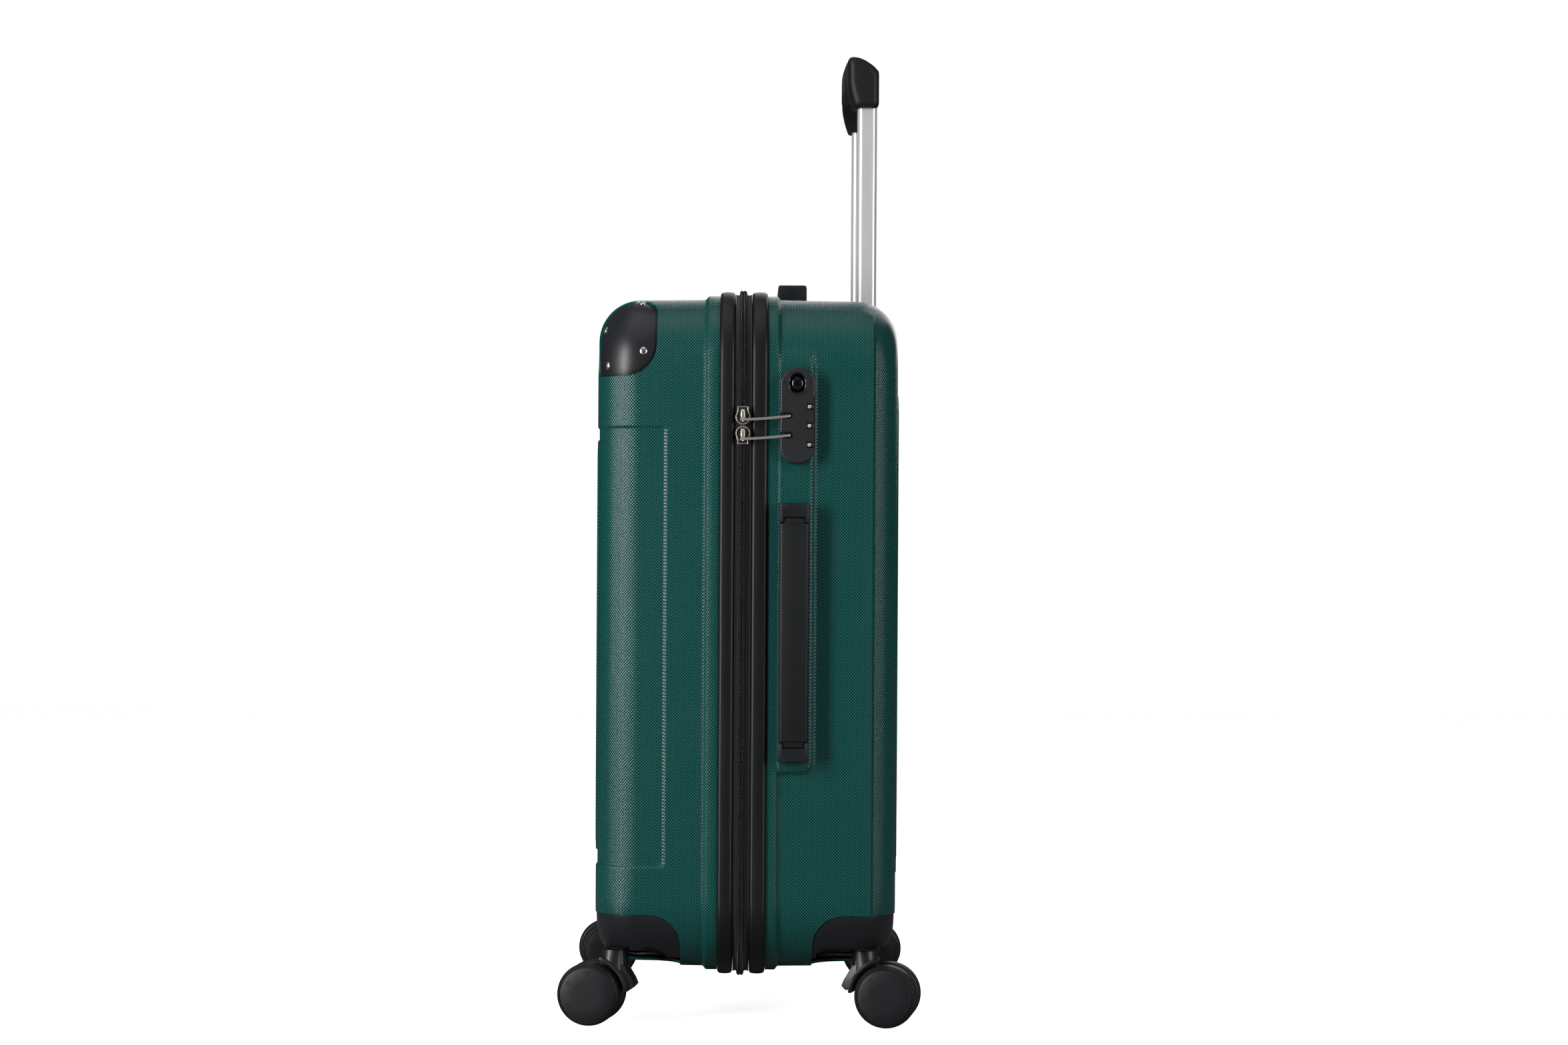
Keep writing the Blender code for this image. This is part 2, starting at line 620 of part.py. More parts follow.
def tube(name, side, size, levels, surface="aluminium_tube"):
    """A hollow tube with open ends."""
    centre = (side * TUBE_X, TUBE_Y)
    outer = rounded_rectangle(centre, (size[0] / 2, size[1] / 2), 0.005)
    inner_half = (size[0] / 2 - TUBE_WALL, size[1] / 2 - TUBE_WALL)
    inner = rounded_rectangle(centre, inner_half, 0.005 - TUBE_WALL)
    rings = [[(a, b, z) for a, b in ring]
             for ring, z in ((outer, levels[0]), (outer, levels[1]),
                             (inner, levels[1]), (inner, levels[0]))]
    return link(name, loft(rings, ends=False), surface)


def tube_hole(name, size, levels, slack, sides=(1, -1)):
    holes = []
    for side in sides:
        half = (size[0] / 2 + slack, size[1] / 2 + slack)
        points = rounded_rectangle((side * TUBE_X, TUBE_Y), half, 0.005)
        holes.append(guide(f"{name}_{'right' if side > 0 else 'left'}", prism(points, "Z", *levels)))
    return holes


def grip_section(x, squeeze, bottom):
    """One slice of the grip across X, shrunk towards its middle by squeeze."""
    bow = -0.0025 * max(0.0, math.cos(math.pi * x / (2 * GRIP_HALF)))
    y0, y1 = GRIP_Y[0] + bow + squeeze, GRIP_Y[1] + bow - squeeze
    low, top = bottom + squeeze, GRIP_TOP - squeeze
    back = top - GRIP_SLOPE
    points = [(y0 + 0.004, low), (y1 - 0.004, low), (y1, low + 0.004), (y1, back - 0.004)]
    points += [(y1 - 0.003, back + 0.0010), (y0 + 0.008, top - 0.0010), (y0 + 0.003, top - 0.0016)]
    points += [(y0, top - 0.006), (y0, low + 0.004)]
    return [(x, y, z) for y, z in points]


def trolley_grip():
    lobe = TUBE_X - 0.0165
    half = [(GRIP_HALF, 0.005, LOBE_BOTTOM), (GRIP_HALF - 0.0015, 0.002, LOBE_BOTTOM)]
    half += [(GRIP_HALF - 0.0045, 0.0, LOBE_BOTTOM), (lobe + 0.002, 0.0, LOBE_BOTTOM)]
    half += [(lobe - 0.002, 0.0, LOBE_BOTTOM + 0.006), (lobe - 0.010, 0.0, BAR_BOTTOM - 0.003)]
    half += [(lobe - 0.018, 0.0, BAR_BOTTOM), (0.022, 0.0, BAR_BOTTOM)]
    stations = [(-x, s, b) for x, s, b in half] + half[::-1]
    bm = loft([grip_section(*station) for station in stations])
    piece = link("trolley_grip", bm, "soft_grip")
    for hole in tube_hole("cut_socket", INNER_TUBE, (0.780, INNER_TUBE_Z[1] + GAP), GAP):
        boolean(piece, "DIFFERENCE", hole)
    middle = (GRIP_Y[0] + GRIP_Y[1]) / 2 - 0.0025
    reach = (GRIP_BUTTON[0] + GAP, GRIP_BUTTON[1] + GAP)
    pocket = prism(rounded_rectangle((0.0, middle), reach, 0.005), "Z", 0.8235, 0.850)
    boolean(piece, "DIFFERENCE", guide("cut_grip_button", pocket))
    return piece


def trolley_button():
    """Release button in the grip, its face level with the sloping top."""
    middle = (GRIP_Y[0] + GRIP_Y[1]) / 2 - 0.0025
    rise = GRIP_SLOPE / (GRIP_Y[1] - GRIP_Y[0])
    low = [(x, y, 0.8270) for x, y in rounded_rectangle((0.0, middle), GRIP_BUTTON, 0.005)]
    high = [(x, y, 0.8352 - rise * (y - middle)) for x, y, _ in low]
    return link("trolley_button", loft([low, high]), "gloss_black", origin=(0.0, middle, 0.8270))


def trolley_tray():
    """The tub in the top of the rear shell that the grip sinks into."""
    points = rounded_rectangle((0.0, sum(TRAY_Y) / 2), (TRAY_X, (TRAY_Y[1] - TRAY_Y[0]) / 2), 0.004)
    piece = link("trolley_tray", prism(points, "Z", TRAY_Z, 0.660), "black_plastic")
    boolean(piece, "INTERSECT", bpy.data.objects["form_tray"])
    half = (TRAY_X - TRAY_WALL, (TRAY_Y[1] - TRAY_Y[0]) / 2 - TRAY_WALL)
    cavity = prism(rounded_rectangle((0.0, sum(TRAY_Y) / 2), half, 0.003), "Z",
                   TRAY_Z + TRAY_WALL, 0.700)
    boolean(piece, "DIFFERENCE", guide("cut_tray_cavity", cavity))
    for hole in tube_hole("cut_tray_floor", MIDDLE_TUBE, (0.570, 0.600), 0.0004):
        boolean(piece, "DIFFERENCE", hole)
    return piece


def trolley_bracket():
    """Holds the feet of the outer tubes to the bottom of the rear shell."""
    bm = box((-BRACKET_X, BRACKET_Y[0], BRACKET_Z[0]), (BRACKET_X, BRACKET_Y[1], BRACKET_Z[1]))
    piece = link("trolley_bracket", bm, "black_plastic")
    for hole in tube_hole("cut_bracket", OUTER_TUBE, (OUTER_TUBE_Z[0] - GAP, 0.110), GAP):
        boolean(piece, "DIFFERENCE", hole)
    return piece


def trolley():
    for side, label in ((1, "right"), (-1, "left")):
        tube(f"outer_tube_{label}", side, OUTER_TUBE, OUTER_TUBE_Z)
        tube(f"middle_tube_{label}", side, MIDDLE_TUBE, MIDDLE_TUBE_Z)
        tube(f"inner_tube_{label}", side, INNER_TUBE, INNER_TUBE_Z)
    trolley_tray()
    trolley_bracket()
    trolley_grip()
    trolley_button()


# casters, drawn with the stem on Z and the wheels trailing towards +Y, then turned and placed


def caster_housing(label, parent):
    end, side, _ = CASTERS[label]
    towards = -1 if end == "front" else 1
    block = corner_block(side, towards, HOUSING_IN[end], -1, HOUSING_R)
    piece = link(f"{label}_housing", block, "black_plastic", parent)
    boolean(piece, "INTERSECT", bpy.data.objects[f"form_housing_{end}"])
    below = box((-0.300, -0.300, -0.010), (0.300, 0.300, SKIRT_Z))
    boolean(piece, "DIFFERENCE", guide(f"cut_{label}_skirt", below))
    stem = (side * STEM_X, towards * STEM_Y)
    recess = cylinder("Z", stem, RECESS_R, 0.040, RECESS_Z, 32)
    boolean(piece, "DIFFERENCE", guide(f"cut_{label}_recess", recess))
    hole = cylinder("Z", stem, PIVOT_R + 0.0004, 0.050, PIVOT_TOP + 0.0006, 16)
    boolean(piece, "DIFFERENCE", guide(f"cut_{label}_pivot", hole))
    return piece


def fork_guides(label, pivot):
    """Solids joined to and cut from the fork's stem, in the order they are used."""
    wheel = (TRAIL, AXLE_Z)
    tail = [(-0.0095, 0.052), (-0.0128, 0.046), (-0.0170, 0.039), (-0.0188, 0.0345)]
    tail += [(-0.0155, 0.0310), (-0.0060, 0.0310), (0.0, 0.040), (0.0, 0.052)]
    hood = arc(wheel, 0.0328, 106, 176, 8) + arc(wheel, 0.0290, 106, 176, 8)[::-1]
    web = [(-0.0110, 0.0560), (0.0090, 0.0550), (0.0290, 0.0330), (0.0290, 0.0220)]
    web += [(0.0200, 0.0170), (0.0080, 0.0220), (-0.0110, 0.0350)]
    clearance = 0.0300
    shapes = [
        ("UNION", "tail", prism(tail, "X", -0.0095, 0.0095)),
        ("UNION", "hood", prism(hood, "X", -0.0132, 0.0132)),
        ("DIFFERENCE", "wheel_a", cylinder("X", wheel, clearance, 0.0042, 0.040, 28)),
        ("DIFFERENCE", "wheel_b", cylinder("X", wheel, clearance, -0.040, -0.0042, 28)),
        ("UNION", "web", prism(web, "X", -0.0038, 0.0038)),
        ("UNION", "pivot", cylinder("Z", (0, 0), PIVOT_R, STEM_TOP - 0.004, PIVOT_TOP, 16)),
        ("DIFFERENCE", "axle", cylinder("X", wheel, BORE_R, -0.010, 0.010, 16)),
    ]
    made = []
    for operation, part, bm in shapes:
        piece = guide(f"cut_{label}_{part}", bm)
        carry_with(piece, pivot)
        made.append((operation, piece))
    return made


def caster(label, parent):
    end, side, yaw = CASTERS[label]
    towards = -1 if end == "front" else 1
    caster_housing(label, parent)
    turn = math.radians(yaw + (180 if towards < 0 else 0))
    place = Vector((side * STEM_X, towards * STEM_Y, 0.0))
    pivot = axis_empty(f"{label}_swivel", tuple(place), turn)
    if parent:
        pivot.parent = parent
        pivot.location = place - parent_place(parent)
    stem = cylinder("Z", (0, 0), STEM_R, 0.0300, STEM_TOP, 24)
    fork = link(f"{label}_fork", stem, "black_plastic", pivot)
    for operation, other in fork_guides(label, pivot):
        boolean(fork, operation, other)
    axle = cylinder("X", (TRAIL, AXLE_Z), AXLE_R, -AXLE_HALF, AXLE_HALF, 16)
    link(f"{label}_axle", axle, "steel_axle", pivot)
    bore_end = 0.0180 - WHEEL_NEAR
    profile = [(0.0, bore_end), (BORE_R, bore_end), (BORE_R, 0.0), (0.0235, 0.0)]
    profile += [(WHEEL_R, 0.0030), (WHEEL_R, WHEEL_WIDE - 0.0030), (WHEEL_FACE_R, WHEEL_WIDE)]
    profile += [(0.0, WHEEL_WIDE)]
    for sign, which in ((side * towards, "outer"), (-side * towards, "inner")):
        bm = turned([(r, sign * (along + WHEEL_NEAR)) for r, along in profile], WHEEL_SIDES)
        wheel = link(f"{label}_wheel_{which}", bm, "wheel_black", pivot)
        wheel.location = (0.0, TRAIL, AXLE_Z)


def guides_for_corners():
    guide("form_front", case_form(-1, GAP))
    guide("form_guard", case_form(-1, GUARD_OUT))
    guide("form_tray", case_form(1, TRAY_PROUD))
    guide("form_housing_front", case_form(-1, HOUSING_GROW))
    guide("form_housing_rear", case_form(1, HOUSING_GROW))


def build():
    clear_scene()
    guides_for_corners()
    hinge = axis_empty("front_hinge", (HINGE_X, 0.0, (SHELL_BOTTOM + SHELL_TOP) / 2))
    for end, parent in (("front", hinge), ("rear", None)):
        shell(end, parent)
        band(end, parent)
        zipper_tape(end, parent)
        zipper_coil(end, parent)
        lining(end, parent)
    hinge_gusset()
    for side in (1, -1):
        corner_guard(side, hinge)
    lock_body()
    lock_button()
    key_cylinder()
    for number, z in enumerate(DIAL_Z, 1):
        dial(number, z)
    for name, (z, tab, puller_z) in SLIDERS.items():
        slider(name, z, tab, puller_z)
        puller(name, puller_z)
    handle("side")
    handle("top")
    trolley()
    for label, (end, _, _) in CASTERS.items():
        caster(label, hinge if end == "front" else None)
    centre = axis_empty("case_centre", (CENTRE_SHIFT, 0.0, 0.0))
    for piece in bpy.data.objects:
        if piece.parent is None and piece is not centre:
            piece.parent = centre


build()
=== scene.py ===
import json
import math

import bmesh
import bpy
import numpy as np
from mathutils import Matrix, Vector

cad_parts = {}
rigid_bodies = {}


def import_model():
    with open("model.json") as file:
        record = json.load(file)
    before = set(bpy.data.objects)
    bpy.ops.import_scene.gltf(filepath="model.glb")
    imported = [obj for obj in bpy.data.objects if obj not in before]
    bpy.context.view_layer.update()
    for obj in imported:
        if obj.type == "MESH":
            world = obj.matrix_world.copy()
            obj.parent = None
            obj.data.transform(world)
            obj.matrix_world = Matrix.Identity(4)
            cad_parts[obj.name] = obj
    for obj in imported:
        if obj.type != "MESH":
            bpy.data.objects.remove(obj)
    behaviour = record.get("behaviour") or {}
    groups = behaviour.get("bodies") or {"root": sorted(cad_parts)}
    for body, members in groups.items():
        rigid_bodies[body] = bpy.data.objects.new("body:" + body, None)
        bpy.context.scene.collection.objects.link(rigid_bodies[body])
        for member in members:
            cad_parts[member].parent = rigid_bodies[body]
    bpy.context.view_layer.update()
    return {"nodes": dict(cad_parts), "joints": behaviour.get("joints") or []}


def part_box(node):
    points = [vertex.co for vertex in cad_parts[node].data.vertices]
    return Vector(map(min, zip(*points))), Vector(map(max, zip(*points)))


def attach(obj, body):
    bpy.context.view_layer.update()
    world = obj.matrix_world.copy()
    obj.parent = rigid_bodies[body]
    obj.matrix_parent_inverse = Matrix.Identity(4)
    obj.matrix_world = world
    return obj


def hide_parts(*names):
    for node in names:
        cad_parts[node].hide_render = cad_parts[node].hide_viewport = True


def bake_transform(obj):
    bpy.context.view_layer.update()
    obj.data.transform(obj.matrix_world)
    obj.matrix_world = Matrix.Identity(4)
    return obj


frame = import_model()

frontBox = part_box("front_shell")
caseX = (frontBox[0].x + frontBox[1].x) / 2  # middle of the shells; pieces are drawn about it
joints = {joint["name"]: joint for joint in frame["joints"]}


# shader groups

def newGroup(name, inputs, outputs):
    tree = bpy.data.node_groups.new(name, "ShaderNodeTree")
    for label, kind, value in inputs:
        socket = tree.interface.new_socket(label, in_out="INPUT", socket_type=kind)
        if value is not None:
            socket.default_value = value
    for label, kind in outputs:
        tree.interface.new_socket(label, in_out="OUTPUT", socket_type=kind)
    return tree, tree.nodes.new("NodeGroupInput"), tree.nodes.new("NodeGroupOutput")


def addNode(tree, kind, inputs=(), **settings):  # inputs are sockets or plain values
    node = tree.nodes.new(kind)
    for label, value in settings.items():
        setattr(node, label, value)
    for label, value in dict(inputs).items():
        if isinstance(value, bpy.types.NodeSocket):
            tree.links.new(value, node.inputs[label])
        elif value is not None:
            node.inputs[label].default_value = value
    return node.outputs[0]


def mathNode(tree, operation, *values):
    return addNode(tree, "ShaderNodeMath", enumerate(values), operation=operation)


def makeLatticeGroup():  # two crossing rows of small domes, as pressed into the sheet, with masks for painted shade in the valleys and painted glints on the dome tips
    tree, given, result = newGroup(
        "pressedLattice",
        [("Place", "NodeSocketVector", None), ("Across", "NodeSocketFloat", 394.0),
         ("Along", "NodeSocketFloat", 357.0), ("Fade", "NodeSocketFloat", 1.0)],
        [("Height", "NodeSocketFloat"), ("Dome", "NodeSocketFloat"), ("Stroke", "NodeSocketFloat")])
    split = addNode(tree, "ShaderNodeSeparateXYZ", {0: given.outputs["Place"]}).node
    waves = []
    for axis, rate in enumerate(("Across", "Along")):
        turns = mathNode(tree, "MULTIPLY", split.outputs[axis], given.outputs[rate])
        waves.append(mathNode(tree, "COSINE", mathNode(tree, "MULTIPLY", turns, math.tau)))
    product = mathNode(tree, "MULTIPLY", *waves)
    dome = mathNode(tree, "MULTIPLY_ADD", product, 0.5, 0.5)
    # painted glint mask: narrow upright streaks on the dome tips, standing in for lamp highlights
    narrow = [mathNode(tree, "POWER", mathNode(tree, "ABSOLUTE", wave), power)
              for wave, power in zip(waves, (6.0, 1.6))]
    stroke = mathNode(tree, "MULTIPLY", mathNode(tree, "MULTIPLY", *narrow),
                      mathNode(tree, "GREATER_THAN", product, 0.0))
    tree.links.new(mathNode(tree, "MULTIPLY", stroke, given.outputs["Fade"]),
                   result.inputs["Stroke"])
    tree.links.new(mathNode(tree, "MULTIPLY", dome, given.outputs["Fade"]), result.inputs["Height"])
    tree.links.new(dome, result.inputs["Dome"])
    return tree


def makeGrainGroup():  # fine moulded grain with slow unevenness
    tree, given, result = newGroup(
        "mouldGrain",
        [("Place", "NodeSocketVector", None), ("Scale", "NodeSocketFloat", 2600.0),
         ("Amount", "NodeSocketFloat", 0.5)],
        [("Height", "NodeSocketFloat"), ("Uneven", "NodeSocketFloat")])
    fine, slow = (addNode(tree, "ShaderNodeTexNoise",
                          {"Vector": given.outputs["Place"], "Scale": scale, "Detail": detail})
                  for scale, detail in ((given.outputs["Scale"], 2.0), (22.0, 4.0)))
    tree.links.new(mathNode(tree, "MULTIPLY", fine, given.outputs["Amount"]),
                   result.inputs["Height"])
    tree.links.new(slow, result.inputs["Uneven"])
    return tree


def makeWeaveGroup():  # plain woven cloth: threads over and under
    tree, given, result = newGroup(
        "clothWeave",
        [("Place", "NodeSocketVector", None), ("Threads", "NodeSocketFloat", 900.0),
         ("Ribs", "NodeSocketFloat", 0.0)],
        [("Height", "NodeSocketFloat"), ("Shade", "NodeSocketFloat")])
    split = addNode(tree, "ShaderNodeSeparateXYZ", {0: given.outputs["Place"]}).node
    threads = mathNode(tree, "MULTIPLY", given.outputs["Threads"], math.pi)
    waves = [mathNode(tree, "SINE", mathNode(tree, "MULTIPLY", split.outputs[axis], threads))
             for axis in (0, 1)]
    over = mathNode(tree, "MULTIPLY_ADD", mathNode(tree, "MULTIPLY", *waves), 0.5, 0.5)
    rib = mathNode(tree, "MULTIPLY", mathNode(tree, "ABSOLUTE", waves[1]), given.outputs["Ribs"])
    tree.links.new(mathNode(tree, "ADD", over, rib), result.inputs["Height"])
    tree.links.new(over, result.inputs["Shade"])
    return tree


latticeGroup, grainGroup, weaveGroup = makeLatticeGroup(), makeGrainGroup(), makeWeaveGroup()


# materials

def startMaterial(name, colour, roughness, metallic=0.0, **sockets):
    material = bpy.data.materials.new(name)
    material.use_nodes = True
    tree = material.node_tree
    shader = tree.nodes["Principled BSDF"]
    shader.inputs["Base Color"].default_value = (*colour, 1.0)
    shader.inputs["Roughness"].default_value = roughness
    shader.inputs["Metallic"].default_value = metallic
    for label, value in sockets.items():
        shader.inputs[label.replace("_", " ")].default_value = value
    return material, tree, shader


def placed(tree, uv=None, stretch=None):  # Object coordinates, or a UV map of the piece
    if uv:
        out = addNode(tree, "ShaderNodeUVMap", uv_map=uv)
    else:
        out = tree.nodes.new("ShaderNodeTexCoord").outputs["Object"]
    if stretch:
        out = addNode(tree, "ShaderNodeMapping", {"Scale": stretch, "Vector": out})
    return out


def addGroup(tree, group, place, **values):
    return addNode(tree, "ShaderNodeGroup", {"Place": place, **values}, node_tree=group).node


def addBump(tree, shader, height, distance):
    normal = addNode(tree, "ShaderNodeBump",
                     {"Distance": distance, "Strength": 1.0, "Height": height})
    tree.links.new(normal, shader.inputs["Normal"])


def rampTo(tree, socket, value, low, high):  # value 0..1 spread over low..high
    tree.links.new(addNode(tree, "ShaderNodeMapRange",
                           {"To Min": low, "To Max": high, "Value": value}), socket)


def mixColours(tree, socket, share, dark, light):
    mixed = addNode(tree, "ShaderNodeMix", {0: share, 6: (*dark, 1.0), 7: (*light, 1.0)},
                    data_type="RGBA").node.outputs[2]
    if socket:
        tree.links.new(mixed, socket)
    return mixed


def greenSheet():
    # the darkest colour is painted shade in the valleys between the domes, the lightest a painted
    # highlight on the dome tips
    look = {"valleyShade": (0.0003, 0.024, 0.0205), "raised": (0.0006, 0.072, 0.063),
            "paintedGlintColour": (0.050, 0.26, 0.245), "across": 394.0, "along": 357.0, "press": 0.00026}
    material, tree, shader = startMaterial("greenSheet", look["raised"], 0.25,
                                           Specular_IOR_Level=0.42)
    fade = addNode(tree, "ShaderNodeSeparateXYZ", {0: placed(tree, "fade")})
    lattice = addGroup(tree, latticeGroup, placed(tree, "sheet"), Across=look["across"],
                       Along=look["along"], Fade=fade)
    grain = addGroup(tree, grainGroup, placed(tree), Scale=900.0, Amount=0.10)
    # painted shade: darker in the valleys between the domes
    body = mixColours(tree, None, lattice.outputs["Dome"], look["valleyShade"], look["raised"])
    # painted glints: a light teal streak on each dome tip
    glintPaintedColour = mixColours(tree, shader.inputs["Base Color"], lattice.outputs["Stroke"],
                        look["raised"], look["paintedGlintColour"])
    tree.links.new(body, glintPaintedColour.node.inputs[6])
    rampTo(tree, shader.inputs["Roughness"], grain.outputs["Uneven"], 0.19, 0.29)
    height = mathNode(tree, "ADD", lattice.outputs["Height"], grain.outputs["Height"])
    addBump(tree, shader, height, look["press"])
    return material


def plastic(name, colour, roughness, grainScale=2600.0, depth=0.00003, spread=0.06, **sockets):
    material, tree, shader = startMaterial(name, colour, roughness, **sockets)
    grain = addGroup(tree, grainGroup, placed(tree), Scale=grainScale, Amount=1.0)
    lighter = tuple(c * 1.35 for c in colour)
    mixColours(tree, shader.inputs["Base Color"], grain.outputs["Uneven"], colour, lighter)
    rampTo(tree, shader.inputs["Roughness"], grain.outputs["Uneven"],
           roughness - spread, roughness + spread)
    addBump(tree, shader, grain.outputs["Height"], depth)
    return material


def cloth(name, colour, threads, ribs=0.0, uv=None, depth=0.00012):
    material, tree, shader = startMaterial(name, colour, 0.88, Sheen_Weight=0.25)
    shader.inputs["Sheen Roughness"].default_value = 0.5
    weave = addGroup(tree, weaveGroup, placed(tree, uv), Threads=threads, Ribs=ribs)
    mixColours(tree, shader.inputs["Base Color"], weave.outputs["Shade"],
               tuple(c * 0.55 for c in colour), colour)
    addBump(tree, shader, weave.outputs["Height"], depth)
    return material


def metal(name, colour, roughness, stretch, spread=0.08, shine=1.0):
    material, tree, shader = startMaterial(name, colour, roughness, shine)
    brushed = addGroup(tree, grainGroup, placed(tree, None, stretch), Scale=1.0, Amount=1.0)
    mixColours(tree, shader.inputs["Base Color"], brushed.outputs["Height"],
               tuple(c * 0.86 for c in colour), colour)
    rampTo(tree, shader.inputs["Roughness"], brushed.outputs["Height"],
           roughness - spread, roughness + spread)
    addBump(tree, shader, brushed.outputs["Height"], 0.000012)
    return material


greenShell = greenSheet()
bandRubber = plastic("bandRubber", (0.0042, 0.0044, 0.0052), 0.42, 3000.0, 0.00001,
                     Specular_IOR_Level=0.36)
zipTape = cloth("zipTape", (0.0075, 0.0075, 0.008), 1500.0, 1.2, "sheet", 0.0001)
coilNylon = plastic("coilNylon", (0.006, 0.006, 0.0065), 0.26, 3000.0, 0.000005)
nickelPlate = metal("nickelPlate", (0.80, 0.76, 0.70), 0.22, (900.0, 900.0, 900.0), shine=0.75)
smokyNickel = metal("smokyNickel", (0.20, 0.18, 0.15), 0.26, (900.0, 900.0, 900.0))
lockBlack = plastic("lockBlack", (0.0098, 0.0102, 0.012), 0.46, 2200.0, 0.00007)
mouldedBlack = plastic("mouldedBlack", (0.0085, 0.0092, 0.0115), 0.37, 3200.0, 0.00002)
glossBlack = plastic("glossBlack", (0.004, 0.004, 0.005), 0.10, 800.0, 0.000003, 0.03)
softGrip = plastic("softGrip", (0.0045, 0.0052, 0.0058), 0.52, 2400.0, 0.00004,
                   Specular_IOR_Level=0.32)
wheelBlack = plastic("wheelBlack", (0.0065, 0.0070, 0.0085), 0.48, 2000.0, 0.00003,
                     Specular_IOR_Level=0.36)
tubeMetal = metal("tubeMetal", (0.86, 0.86, 0.88), 0.34, (2200.0, 2200.0, 26.0), shine=0.45)
axleSteel = metal("axleSteel", (0.55, 0.55, 0.57), 0.30, (60.0, 1800.0, 1800.0))
liningCloth = cloth("liningCloth", (0.050, 0.052, 0.056), 1100.0)
gussetCloth = cloth("gussetCloth", (0.012, 0.012, 0.013), 1400.0, 0.0, "sheet")
numeralWhite = plastic("numeralWhite", (0.62, 0.62, 0.60), 0.40, 2000.0, 0.000005)


# mesh helpers

def toObject(name, mesh):
    piece = bpy.data.objects.new(name, mesh)
    bpy.context.scene.collection.objects.link(piece)
    return piece


def evaluated(piece):  # the piece with its modifiers applied, as one plain mesh
    graph = bpy.context.evaluated_depsgraph_get()
    graph.update()
    mesh = bpy.data.meshes.new_from_object(piece.evaluated_get(graph), depsgraph=graph)
    piece.modifiers.clear()
    piece.data = mesh
    return piece


def smoothShade(mesh, angle=35.0):
    mesh.shade_smooth()
    mesh.set_sharp_from_angle(angle=math.radians(angle))


def gridsToObject(name, grids):
    # each grid is (points[row][column], {map name: uv[row][column]}); all grids become one mesh
    points, faces, maps = [], [], {}
    for place, layers in grids:
        rows, columns = place.shape[:2]
        start = len(points)
        points.extend(place.reshape(-1, 3).tolist())
        for key, uv in layers.items():
            maps.setdefault(key, []).extend(uv.reshape(-1, 2).tolist())
        for i in range(rows - 1):
            for j in range(columns - 1):
                a = start + i * columns + j
                faces.append((a, a + 1, a + 1 + columns, a + columns))
    mesh = bpy.data.meshes.new(name)
    mesh.from_pydata(points, [], faces)
    corners = np.zeros(len(mesh.loops), np.int32)
    mesh.loops.foreach_get("vertex_index", corners)
    for key, uv in maps.items():
        layer = mesh.uv_layers.new(name=key)
        layer.data.foreach_set("uv", np.array(uv, np.float32)[corners].ravel())
    bm = bmesh.new()
    bm.from_mesh(mesh)
    bmesh.ops.remove_doubles(bm, verts=bm.verts, dist=2e-6)
    bmesh.ops.dissolve_degenerate(bm, edges=bm.edges, dist=1e-7)
    bmesh.ops.recalc_face_normals(bm, faces=bm.faces)
    bm.to_mesh(mesh)
    bm.free()
    return toObject(name, mesh)


def bmToObject(name, bm):
    bmesh.ops.remove_doubles(bm, verts=bm.verts, dist=1e-6)
    bmesh.ops.recalc_face_normals(bm, faces=bm.faces)
    mesh = bpy.data.meshes.new(name)
    bm.to_mesh(mesh)
    bm.free()
    return toObject(name, mesh)


def loftRings(rings, ends=True):
    bm = bmesh.new()
    loops = [[bm.verts.new(p) for p in ring] for ring in rings]
    count = len(loops[0])
    for a, b in zip(loops, loops[1:] if ends else loops[1:] + loops[:1]):
        for i in range(count):
            j = (i + 1) % count
            bm.faces.new((a[i], a[j], b[j], b[i]))
    if ends:
        bm.faces.new(loops[0])
        bm.faces.new(loops[-1])
    return bm


def boxMesh(low, high):
    bm = bmesh.new()
    bmesh.ops.create_cube(bm, size=1.0)
    for v in bm.verts:
        v.co = Vector([lo if c < 0 else hi for c, lo, hi in zip(v.co, low, high)])
    return bm


def prism(points, axis, low, high):
    rings = []
    for level in (low, high):
        ring = []
        for a, b in points:
            place = [a, b]
            place.insert("XYZ".index(axis), level)
            ring.append(place)
        rings.append(ring)
    return loftRings(rings)


def arc(centre, radius, start, stop, steps):
    turns = [math.radians(start + (stop - start) * i / steps) for i in range(steps + 1)]
    return [(centre[0] + radius * math.cos(t), centre[1] + radius * math.sin(t)) for t in turns]


def roundedRectangle(centre, half, radius, steps=5):
    points = []
    for sx, sy, start in ((1, 1, 0), (-1, 1, 90), (-1, -1, 180), (1, -1, 270)):
        corner = (centre[0] + sx * (half[0] - radius), centre[1] + sy * (half[1] - radius))
        points += arc(corner, radius, start, start + 90, steps)
    return points


def turnedMesh(profile, axis="X", sides=64):  # profile of (radius, along) pairs
    bm = bmesh.new()
    spin = {"X": (1, 0, 0), "Z": (0, 0, 1)}[axis]
    ring = [bm.verts.new((along, radius, 0.0) if axis == "X" else (radius, 0.0, along))
            for radius, along in profile]
    edges = [bm.edges.new(pair) for pair in zip(ring, ring[1:])]
    bmesh.ops.spin(bm, geom=ring + edges, cent=(0, 0, 0), axis=spin, angle=math.tau, steps=sides)
    bmesh.ops.remove_doubles(bm, verts=bm.verts, dist=1e-6)
    return bm


def combine(piece, operation, other):  # other is used up
    modifier = piece.modifiers.new("combine", "BOOLEAN")
    modifier.operation = operation
    modifier.solver = "EXACT"
    modifier.object = other
    evaluated(piece)
    bpy.data.objects.remove(other, do_unlink=True)
    return piece


def bevelled(piece, width, segments=2, angle=35.0):
    modifier = piece.modifiers.new("edges", "BEVEL")
    modifier.width = width
    modifier.segments = segments
    modifier.limit_method = "ANGLE"
    modifier.angle_limit = math.radians(angle)
    modifier.use_clamp_overlap = True
    modifier.harden_normals = False
    return evaluated(piece)


